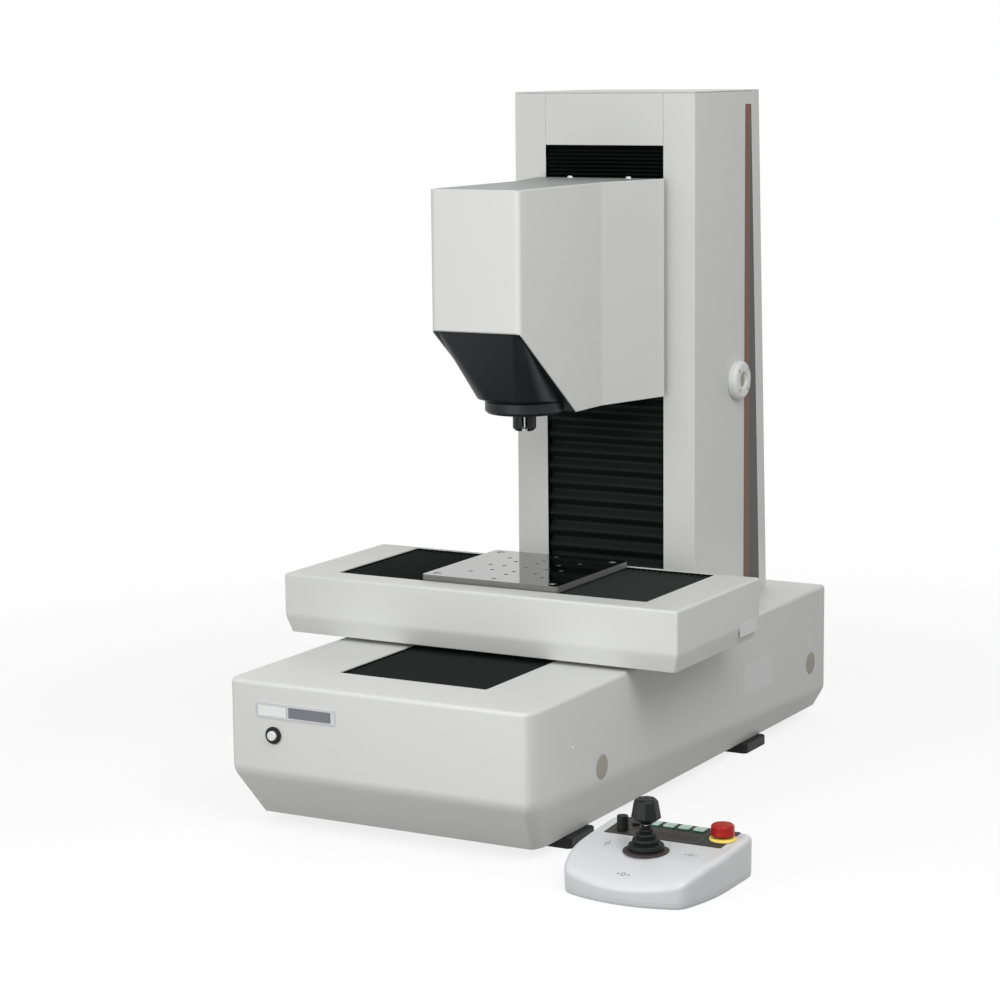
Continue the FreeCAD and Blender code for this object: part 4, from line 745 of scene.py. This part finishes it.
def makePlugs(spec):
    # a low domed disc on each side
    (back, rim, crown), (inner, outer) = spec["x"], spec["radii"]
    for sideName, sign in (("Left", -1), ("Right", 1)):
        for spot, y in spec["places"].items():
            profile = [(0, crown * sign), (inner, crown * sign), (outer, rim * sign), (outer, back * sign),
                       (0, back * sign)]
            bm = turned(profile, (0, 4, 1, 0, 0), (0, y, spec["z"]), axis="x", segments=48)
            finishMesh(f"plug{sideName}{spot}", bm, "root", "plugPlastic", ("cover_plugs",))


makePlugs(plugSpec)

columnCap = {
    "x": 191.4, "y": 1046, "z": 682, "radius": 37.5, "stand": 18, "well": 17, "dish": 5,
    "centre": ((0, -4.6), (10, -4.2), (14, -4.8)), "slots": 4, "slotHalf": (5, 2), "slotStep": 0.8,
}


def makeColumnCap(spec):
    # a turned ring with a dished middle, and slots between the two
    x, r, well = spec["x"], spec["radius"], spec["well"]
    face = x + spec["stand"]
    middle = (0, spec["y"], spec["z"])
    profile = [(0, x), (r - 2, x), (r, x + 2), (r, face - 5), (r - 5, face), (well, face),
               (well - 1.5, face - spec["dish"]), (0, face - spec["dish"])]
    bm = turned(profile, (0, 0, 1, 3, 2, 1, 1, 0), middle, axis="x", segments=72)
    finishMesh("columnCap", bm, "root", "capPlastic", ("column_side_cap",))
    inner = [(radius, face + depth) for radius, depth in spec["centre"]]
    bm = turned(inner, (0, 1, 0), middle, axis="x", segments=48)
    finishMesh("columnCapCentre", bm, "root", "plugPlastic")
    (a, b), step = spec["slotHalf"], spec["slotStep"]
    for k in range(spec["slots"]):
        angle = math.radians(45 + 90 * k)
        c, s = math.cos(angle), math.sin(angle)
        reach = (well + r) / 2 - 0.5
        rows = [(reach - a, reach + a, -b, b, 1.6, face - 0.6), (reach - a, reach + a, -b, b, 1.6, face + 0.05),
                (reach - a + step, reach + a - step, -b + step, b - step, 0.9, face + 0.05)]
        bm = loftRects(rows, perCorner=3, capStart=True, capEnd=True, origin=inMachine(middle),
                       turn=[[0, 0, 1], [c, -s, 0], [s, c, 0]])
        finishMesh(f"columnCapSlot{k + 1}", bm, "root", "plugPlastic")


makeColumnCap(columnCap)

powerKnob = {"x": -203, "z": 158, "radius": 8.5, "face": 10, "back": -11}


def makePowerKnob(spec):
    # a turned cap with a soft edge
    r = spec["radius"]
    profile = [(0, spec["back"]), (r, spec["back"]), (r, spec["face"]), (0, spec["face"])]
    bm = turned(profile, (0, 0.5, 2, 0), (spec["x"], 0, spec["z"]), axis="y", segments=56)
    finishMesh("powerKnob", bm, "power_cap", "capPlastic", ("power_button",))


makePowerKnob(powerKnob)


# flat trim on upright faces: body, material, slot, the face's axis and place, from where to where along the
# face (a third number is the end at the top), bottom and top, and how thick it is where it isn't 0.35
flatTrim = {
    "palePlateField": ("root", "plateWhite", "plate_metal", 1, -1.5, (-233, -176), (191.4, 209.6), 0.25),
    "darkPlateField": ("root", "plateDark", "plate_metal", 1, -1.5, (-171.5, -87), (191.4, 209.6), 0.25),
    "stripeRight": ("root", "stripeBrown", "cover_paint", 0, 191.4, (1087, 1111), (251, 1214)),
    "wedgeRight": ("root", "wedgeGrey", "cover_paint", 0, 191.4, (1111, 1163, 1114), (251, 1214)),
    "stripeLeft": ("root", "stripeBrown", "cover_paint", 0, -191.4, (1087, 1111), (251, 1214)),
    "wedgeLeft": ("root", "wedgeGrey", "cover_paint", 0, -191.4, (1111, 1163, 1114), (251, 1214)),
    "bareLabelStage": ("y_stage", "labelWhite", "cover_paint", 0, 403, (602, 677), (272, 297)),
    "bareLabelBed": ("root", "labelWhite", "cover_paint", 0, 300, (850, 982), (100, 159)),
}


def flatPatch(name, body, material, slot, axis, face, span, heights, thick=0.35, sink=0.4):
    # a thin prism with four corners, raised from the face by thick and sunk into it by a share of that
    start, end, topEnd = (*span, span[1])[:3]
    low, high = heights
    corners = np.array([(start, low), (end, low), (topEnd, high), (start, high)], float)
    ring, up = np.insert(corners, axis, face, axis=1), np.zeros(3)
    up[axis] = math.copysign(thick, face)
    finishMesh(name, prism(ring - up * sink, ring + up), body, material)


for trimName, trimSpec in flatTrim.items():
    flatPatch(trimName, *trimSpec)
print("trim laid")


# button-head and socket screws

def screwHead(name, centre, axis, body, radius, height, socket, material, slot):
    # a domed head with a round drive recess, its base on the given point
    profile = [(0, height * 0.35), (socket * 0.9, height * 0.35), (socket, height),
               (radius * 0.8, height * 0.85), (radius, 0.2), (radius, -0.5)]
    bm = turned(profile, (0, 0, 0.3, 0.8, 0, 0), centre, axis=axis, segments=28, steps=3)
    finishMesh(name, bm, body, material)


tableScrews = {"middle": 537, "grid": 119, "base": 370.4, "radius": 6.8, "head": 7.2,
               "socket": (3.4, 3.6), "well": 3}
# place, axis, body, radius, height, recess, material and slot
domedScrews = {
    "headTopScrew1": ((-56, 828, 1080), "z", "z_head", 5.5, 4, 2.2, "capPlastic", "white_plastic"),
    "headTopScrew2": ((68, 828, 1080), "z", "z_head", 5.5, 4, 2.2, "capPlastic", "white_plastic"),
    "bedSideScrew": ((300, 149, 160), "x", "root", 2.6, 1.2, 1.2, "screwSteel", "ground_steel"),
}


def makeTableScrews(spec):
    # socket heads in the four counterbores
    (inner, outer), base, r, head = spec["socket"], spec["base"], spec["radius"], spec["head"]
    profile = [(0, spec["well"]), (inner, spec["well"]), (outer, head), (r, head), (r, 0), (0, 0)]
    for k, (a, b) in enumerate(((-1, -1), (1, -1), (-1, 1), (1, 1)), 1):
        bm = turned([(radius, base + h) for radius, h in profile], (0, 0.3, 0.4, 0.6, 0, 0),
                    (a * spec["grid"], spec["middle"] + b * spec["grid"], 0), segments=32, steps=3)
        finishMesh(f"tableScrew{k}", bm, "x_table", "screwSteel")


makeTableScrews(tableScrews)
for screwName, screwSpec in domedScrews.items():
    screwHead(screwName, *screwSpec)
print("screws set")


# control box

caseSpec = {
    "frontHalf": 106.5, "frontBow": 23, "half": 129.5, "sideBow": 126, "depth": 254, "rearCorner": 16,
    "frontHeight": 31, "midHeight": 59.3, "mid": 109, "rearHeight": 69, "crown": 300, "overhang": 12,
    "edge": 9, "centre": (0, 130.0),
    # inset and height of the rows at the foot and round the seam
    "wallRows": ((6, 0), (2.6, 0), (1.8, 0.8), (1.2, 7.4), (1.2, 7.9), (2.0, 8.2), (2.0, 8.7), (1.0, 9.0),
                 (0.9, 10.4)),
    "deckShares": (0.97, 0.93, 0.85, 0.75, 0.64, 0.52, 0.4, 0.28, 0.16, 0.06),
}


def deckHeight(y, spec=caseSpec):
    # an arc over the front part, then a straight slope to the rear
    a, b = np.array([0, spec["frontHeight"]]), np.array([spec["mid"], spec["midHeight"]])
    chord = b - a
    length = np.hypot(*chord)
    drop = math.sqrt(spec["crown"] ** 2 - (length / 2) ** 2)
    centre = (a + b) / 2 + np.array([chord[1], -chord[0]]) / length * drop
    y = np.asarray(y, float)
    reach = np.clip(y, -spec["overhang"], spec["mid"]) - centre[0]
    arc = centre[1] + np.sqrt(np.maximum(spec["crown"] ** 2 - reach ** 2, 0))
    slope = (spec["rearHeight"] - spec["midHeight"]) / (spec["depth"] - spec["mid"])
    return np.where(y < spec["mid"], arc, spec["midHeight"] + (y - spec["mid"]) * slope)


def arcPoints(start, end, radius, count):
    # points on the arc that bulges to the right on the way from start to end
    start, end = np.array(start, float), np.array(end, float)
    chord = end - start
    length = np.hypot(*chord)
    rise = math.sqrt(radius ** 2 - length ** 2 / 4)
    centre = (start + end) / 2 - np.array([chord[1], -chord[0]]) / length * rise
    a0, a1 = (math.atan2(*(p - centre)[::-1]) for p in (start, end))
    if a1 < a0:
        a1 += 2 * math.pi
    angle = np.linspace(a0, a1, count)
    return centre + radius * np.stack([np.cos(angle), np.sin(angle)], -1)


def casePlan(spec):
    # the outline from the front left corner, counter-clockwise: arcs in front and at the sides, straight behind
    f, h, bow = spec["frontHalf"], spec["half"], spec["frontBow"]
    shoulder = bow + spec["sideBow"]
    frontRadius = (f ** 2 + bow ** 2) / (2 * bow)
    sideRadius = ((h - f) ** 2 + spec["sideBow"] ** 2) / (2 * (h - f))
    front = arcPoints((-f, bow), (f, bow), frontRadius, 41)
    right = arcPoints((f, bow), (h, shoulder), sideRadius, 25)
    r = spec["rearCorner"]
    angle = np.radians(np.linspace(0, 90, 9))
    corner = np.stack([h - r + r * np.cos(angle), spec["depth"] - r + r * np.sin(angle)], -1)
    straight = np.stack([np.full(6, float(h)), np.linspace(shoulder, spec["depth"] - r, 8)[1:-1]], -1)
    rightSide = np.concatenate([right[1:], straight, corner])
    rear = np.stack([np.linspace(h - r, -(h - r), 18)[1:-1], np.full(16, float(spec["depth"]))], -1)
    leftSide = (rightSide * (-1, 1))[::-1]
    return np.concatenate([front, rightSide, rear, leftSide[:-1]])


def softCorners(outline, passes=6):
    # a few rounds of neighbour averaging, which soften the plan's two front corners
    for _ in range(passes):
        outline = 0.5 * outline + 0.25 * (np.roll(outline, 1, 0) + np.roll(outline, -1, 0))
    return outline


def onDeck(outline, lift):
    # a flat outline laid on the deck, raised by lift
    outline = np.asarray(outline, float)
    return raised(outline, deckHeight(outline[:, 1]) + lift)


def makeCase(spec):
    # rings of the plan: level ones up the wall and round the seam, then over a round edge onto the crowned deck
    plan = softCorners(casePlan(spec))
    inward = inwardOf(np.roll(plan, -1, 0) - np.roll(plan, 1, 0))
    centre, edge, lean = np.array(spec["centre"]), spec["edge"], 0.4
    rings = [raised(plan + inward * inset, level) for inset, level in spec["wallRows"]]
    for inset, drop in [(0, edge * 1.5)] + roundEdge(edge, 8):
        rings.append(onDeck(plan + inward * (lean + inset), -drop))
    rim = rings[-1][:, :2]
    rings += [onDeck(centre + (rim - centre) * share, 0) for share in spec["deckShares"]]
    points = np.stack(rings)
    points[..., 2] = np.minimum(points[..., 2], spec["rearHeight"])
    count, across = points.shape[:2]
    lid = range((count - 1) * across, count * across)
    bm = meshOf(inMachine(points, caseDatum), ringQuads(count, across), [lid])
    finishMesh("controlShell", bm, "control_box", "casePlastic", ("control_case",), sharp=50)


makeCase(caseSpec)


def roundRect(x0, x1, y0, y1, r, perCorner=6):
    # a rounded rectangle as two columns
    return rectRings([(x0, x1, y0, y1, r, 0)], perCorner)[0][:, :2]


def layer(name, outer, lift, thick, material, inner=None):
    # a sheet, or a ring between two outlines of the same count, on the deck
    top, low = onDeck(outer, lift), onDeck(outer, lift - thick)
    n = len(top)
    if inner is None:
        rings, caps = [low, top], [range(n), range(n, 2 * n)]
    else:
        rings, caps = [low, top, onDeck(inner, lift), onDeck(inner, lift - thick), low], []
    bm = meshOf(inMachine(np.concatenate(rings), caseDatum), ringQuads(len(rings), n), caps)
    return finishMesh(name, bm, "control_box", material)


panelSpec = {
    "sheet": (-106, 106, 167, 249), "corner": 3, "lift": 0.5, "thick": 1.5,
    # left, right, front and rear of each printed frame
    "lines": {"panelLineButtons": (-60, 60, 212, 246), "panelLineDial": (-99, -62, 171, 203),
              "panelLineMode": (-88, -62, 206, 236), "panelLineWide": (-58, 60, 174, 206)},
    "lineWidth": 0.9, "lineCorner": 6, "lineLift": 0.08, "lineThick": 0.3,
}


def makePanel(spec):
    # a sheet on the deck, with printed frames on it
    sheet = roundRect(*spec["sheet"], spec["corner"])
    piece = layer("panelSheet", sheet, spec["lift"], spec["thick"], "panelFilm")
    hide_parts("control_panel")
    w, r, lift = spec["lineWidth"], spec["lineCorner"], spec["lift"] + spec["lineLift"]
    for name, (x0, x1, y0, y1) in spec["lines"].items():
        layer(name, roundRect(x0, x1, y0, y1, r), lift, spec["lineThick"], "panelLine",
              inner=roundRect(x0 + w, x1 - w, y0 + w, y1 - w, r - w))


makePanel(panelSpec)

buttonSpec = {"corner": 1.6, "shoulder": 2.2, "step": 0.3, "lens": 0.5, "lensFoot": 2.4, "rim": 3.2,
              "dish": (4.2, 0.4)}


def makeAxisButtons(spec):
    # a dark square body, and on it a pale lens with a slightly sunk middle
    zero, r = np.zeros(3), spec["corner"]
    for k in range(1, 5):
        node = f"axis_button_{k}"
        (x0, y0, foot), (x1, y1, top) = boxOf(node)

        def row(inset, radius, height):
            return x0 + inset, x1 - inset, y0 + inset, y1 - inset, radius, height

        shoulder, (dish, sunk) = top - spec["shoulder"], spec["dish"]
        rows = [row(0, r, foot), row(0, r, shoulder), row(spec["step"], r, shoulder)]
        bm = loftRects(rows, (0, 0, 0), perCorner=5, capStart=True, capEnd=True, origin=zero)
        finishMesh(f"buttonBody{k}", bm, f"button_{k}", "buttonSide", (node,))
        lens = spec["lens"]
        rows = [row(lens, r, top - spec["lensFoot"]), row(lens, r, top), row(spec["rim"], 1, top),
                row(dish, 1, top - sunk)]
        bm = loftRects(rows, (0, 1, 0.4, 0), perCorner=5, capEnd=True, origin=zero)
        finishMesh(f"buttonLens{k}", bm, f"button_{k}", "buttonTop")


makeAxisButtons(buttonSpec)

stopSpec = {"bore": 9, "skirt": 8, "shoulder": 3.4, "crown": 4, "waist": 0.7, "collarBore": 8,
            "collarShare": 0.84}


def makeStop(spec):
    # the mushroom head and its collar, each a profile turned on the head's axis
    low, high = boxOf("e_stop_head")
    middle = (low + high) / 2
    centre = (middle[0], middle[1], 0)
    r, z0, z1, waist, bore = (high[0] - low[0]) / 2, low[2], high[2], spec["waist"], spec["bore"]
    profile = [(bore, z0 + 1.5), (bore, z0), (r - 0.6, z0), (r, z0 + 1), (r - waist, z0 + spec["skirt"]),
               (r - waist, z1 - spec["shoulder"]), (r - spec["crown"], z1 - 0.4), (0, z1)]
    bm = turned(profile, (0, 0, 0.5, 1.5, 1.5, 2, 2, 0), centre, segments=72, origin=np.zeros(3))
    finishMesh("stopHead", bm, "stop_head", "stopRed", ("e_stop_head",))
    low, high = boxOf("e_stop_collar")
    r, z0, z1, bore = (high[0] - low[0]) / 2, low[2], high[2], spec["collarBore"]
    profile = [(r - 0.8, z0 - 1.6), (r, z0 - 0.6), (r, z1 - 1), (r - 1.2, z1),
               (r * spec["collarShare"], z1 + 0.3), (bore, z1 + 0.3), (bore, z0)]
    bm = turned(profile, (0, 0.5, 0.8, 0.8, 0.6, 0, 0), centre, segments=72, origin=np.zeros(3))
    finishMesh("stopCollar", bm, "control_box", "stopYellow", ("e_stop_collar",))


makeStop(stopSpec)

bootSpec = {
    "flange": 38.3, "bore": 24, "seat": 31, "foot": 5, "neck": 8.5, "hole": 6, "height": 40,
    "tiers": ((30, 0, 12), (23, 12, 21.5), (17.5, 21.5, 30), (12.5, 30, 37)),  # radius, foot and top
}


def makeBoot(spec):
    # one stepped profile, cut at a groove into a low part and a high part
    low, high = boxOf("joystick_boot")
    x, y, z0 = (low[0] + high[0]) / 2, (low[1] + high[1]) / 2, low[2] + spec["foot"]
    tiers, end = spec["tiers"], spec["height"]
    profile, cuts = [], []
    for k, (r, foot, top) in enumerate(tiers):
        after = tiers[k + 1][0] if k + 1 < len(tiers) else spec["neck"] + 1
        profile += [(r - 2, z0 + foot), (r, z0 + foot + 2.2), (r - 1, z0 + top - 2.6),
                    (after - 2, z0 + top - 0.8)]
        cuts += [1.0, 1.6, 1.6, 1.0]
    profile = np.array(profile + [(spec["neck"], z0 + end - 1.5), (spec["hole"], z0 + end)])
    cuts, half = cuts + [1, 0], len(tiers) * 2
    zero, centre = np.zeros(3), (x, y, 0)
    bore, seat, rim = spec["bore"], spec["seat"], spec["flange"]
    flange = [(bore, z0 + 0.2), (seat, z0 + 0.2), (rim, z0 - 0.8), (rim, z0 - 3), (bore, z0 - 4)]
    bm = turned(flange, (0, 1, 1.2, 0, 0), centre, segments=80, origin=zero)
    finishMesh("bootFlange", bm, "control_box", "flangeRubber")
    bm = turned(profile[:half + 1], cuts[:half] + [0], centre, segments=80, origin=zero)
    lower = finishMesh("bootLower", bm, None, "softRubber", ("joystick_boot",), sharp=60)
    bm = turned(profile[half:], [0] + cuts[half + 1:], centre, segments=80, origin=zero)
    upper = finishMesh("bootUpper", bm, None, "softRubber", sharp=60)
    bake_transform(lower)
    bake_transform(upper)


makeBoot(bootSpec)

axisMarks = {
    "places": {"markLeft": (-75, 121, 90), "markRight": (75, 121, 0), "markFront": (0, 29, 0)},  # x, y, turn
    "radius": 4.2, "line": 1.1, "tip": 7.5, "foot": 4, "half": 2, "lift": 0.12, "thick": 0.4,
}


def makeAxisMark(name, x, y, turn, spec):
    # a small ring with an arrow each side, for the two ways of the stick
    size, lift, thick = spec["radius"], spec["lift"], spec["thick"]
    a = np.radians(np.linspace(0, 360, 25)[:-1])
    circle = np.stack([np.cos(a), np.sin(a)], -1)
    layer(name + "Ring", (x, y) + size * circle, lift, thick, "printInk",
          inner=(x, y) + (size - spec["line"]) * circle)
    c, s = math.cos(math.radians(turn)), math.sin(math.radians(turn))
    foot, half = size + spec["foot"], spec["half"]
    for side, sign in (("A", 1), ("B", -1)):
        u, v = (np.array([(size + spec["tip"], 0), (foot, half), (foot, -half)]) * sign).T
        layer(name + side, np.column_stack([x + u * c - v * s, y + u * s + v * c]), lift, thick, "printInk")


for markName, markPlace in axisMarks["places"].items():
    makeAxisMark(markName, *markPlace, axisMarks)
print("control box made")


# floor, world and lamps

studio = {
    "sky": 0.42, "floorReach": 30, "floorSeen": 1.0, "floorBounce": 0.2,
    "floorGloss": 0.9, "floorSpecular": 0.1,
    "glow": 1.0, "glowNear": 0.82, "nearReach": 1.1, "farReach": 2.4,
    "rear": {"direction": (0.5, -0.75, -0.43), "strength": 0.5, "angle": 50},
    "boxes": {  # soft boxes: place and aim in mm, power in W, width in m
        "frontBox": ((-200, -1800, 900), (0, 400, 600), 23, 1.8),
        "sideBox": ((1900, -900, 2300), (100, 600, 500), 41, 1.6),
    },
}


def makeFloor(spec):
    # seen directly, the floor glows white, a little less near the object, where its shadow stays
    r = spec["floorReach"]
    floor = newObject("floor", bpy.data.meshes.new("floor"))
    floor.data.from_pydata([(-r, -r, 0), (r, -r, 0), (r, r, 0), (-r, r, 0)], [], [(0, 1, 2, 3)])
    material = bpy.data.materials.new("floorWhite")
    material.use_nodes = True
    tree = material.node_tree
    shader, output = tree.nodes["Principled BSDF"], tree.nodes["Material Output"]
    shader.inputs["Roughness"].default_value = spec["floorGloss"]
    shader.inputs["Specular IOR Level"].default_value = spec["floorSpecular"]
    glow = addNode(tree, "Emission", {"Strength": spec["glow"]})
    path = addNode(tree, "LightPath").outputs
    tint = addNode(tree, "Mix", data_type="RGBA")
    tint.inputs["A"].default_value = (spec["floorSeen"],) * 3 + (1,)
    tint.inputs["B"].default_value = (spec["floorBounce"],) * 3 + (1,)
    reach = addNode(tree, "VectorMath", {0: addNode(tree, "TexCoord").outputs["Object"]}, operation="LENGTH")
    fade = addNode(tree, "MapRange", {"Value": reach.outputs["Value"], "From Min": spec["nearReach"],
                                      "From Max": spec["farReach"], "To Min": spec["glowNear"], "To Max": 1})
    seen = maths(tree, "MAXIMUM", path["Is Camera Ray"], path["Is Glossy Ray"])
    share = maths(tree, "MULTIPLY", seen, fade.outputs["Result"])
    mix = addNode(tree, "MixShader", {"Fac": share, 1: shader.outputs[0], 2: glow.outputs[0]})
    joinSockets(tree, ((path["Is Diffuse Ray"], tint.inputs["Factor"]),
                       (tint.outputs["Result"], shader.inputs["Base Color"]),
                       (mix.outputs[0], output.inputs["Surface"])))
    floor.data.materials.append(material)


def makeWorld(spec):
    # a soft sky for diffuse light, and white for whatever sees the background
    world = bpy.data.worlds.new("studioWorld")
    bpy.context.scene.world = world
    world.use_nodes = True
    tree = world.node_tree
    soft, output = tree.nodes["Background"], tree.nodes["World Output"]
    soft.inputs["Color"].default_value = (1, 1, 1, 1)
    soft.inputs["Strength"].default_value = spec["sky"]
    white = addNode(tree, "Background", {"Color": (1, 1, 1, 1)})
    path = addNode(tree, "LightPath").outputs
    mix = addNode(tree, "MixShader", {"Fac": path["Is Diffuse Ray"], 1: white.outputs[0], 2: soft.outputs[0]})
    tree.links.new(mix.outputs[0], output.inputs["Surface"])


def placeLamp(name, lamp, place, direction):
    # a lamp that shines along its direction and stays out of the picture
    holder = newObject(name, lamp)
    holder.location = place
    holder.rotation_mode = "QUATERNION"
    holder.rotation_quaternion = Vector(direction).to_track_quat("-Z", "Y")
    holder.visible_camera = False
    return holder


def makeLamps(spec):
    # soft boxes aimed at the part, and a weak broad sun from behind, which mirrors don't see
    for name, (place, aim, power, width) in spec["boxes"].items():
        lamp = bpy.data.lights.new(name, "AREA")
        lamp.energy, lamp.size = power, width
        place, aim = inMachine(place), inMachine(aim)
        placeLamp(name, lamp, place, aim - place)
    rear = bpy.data.lights.new("rearLamp", "SUN")
    rear.energy, rear.angle = spec["rear"]["strength"], math.radians(spec["rear"]["angle"])
    placeLamp("rearLamp", rear, (0, 0, 3), spec["rear"]["direction"]).visible_glossy = False


makeFloor(studio)
makeWorld(studio)
makeLamps(studio)
bpy.context.scene.view_settings.view_transform = "Standard"
print("studio lit")
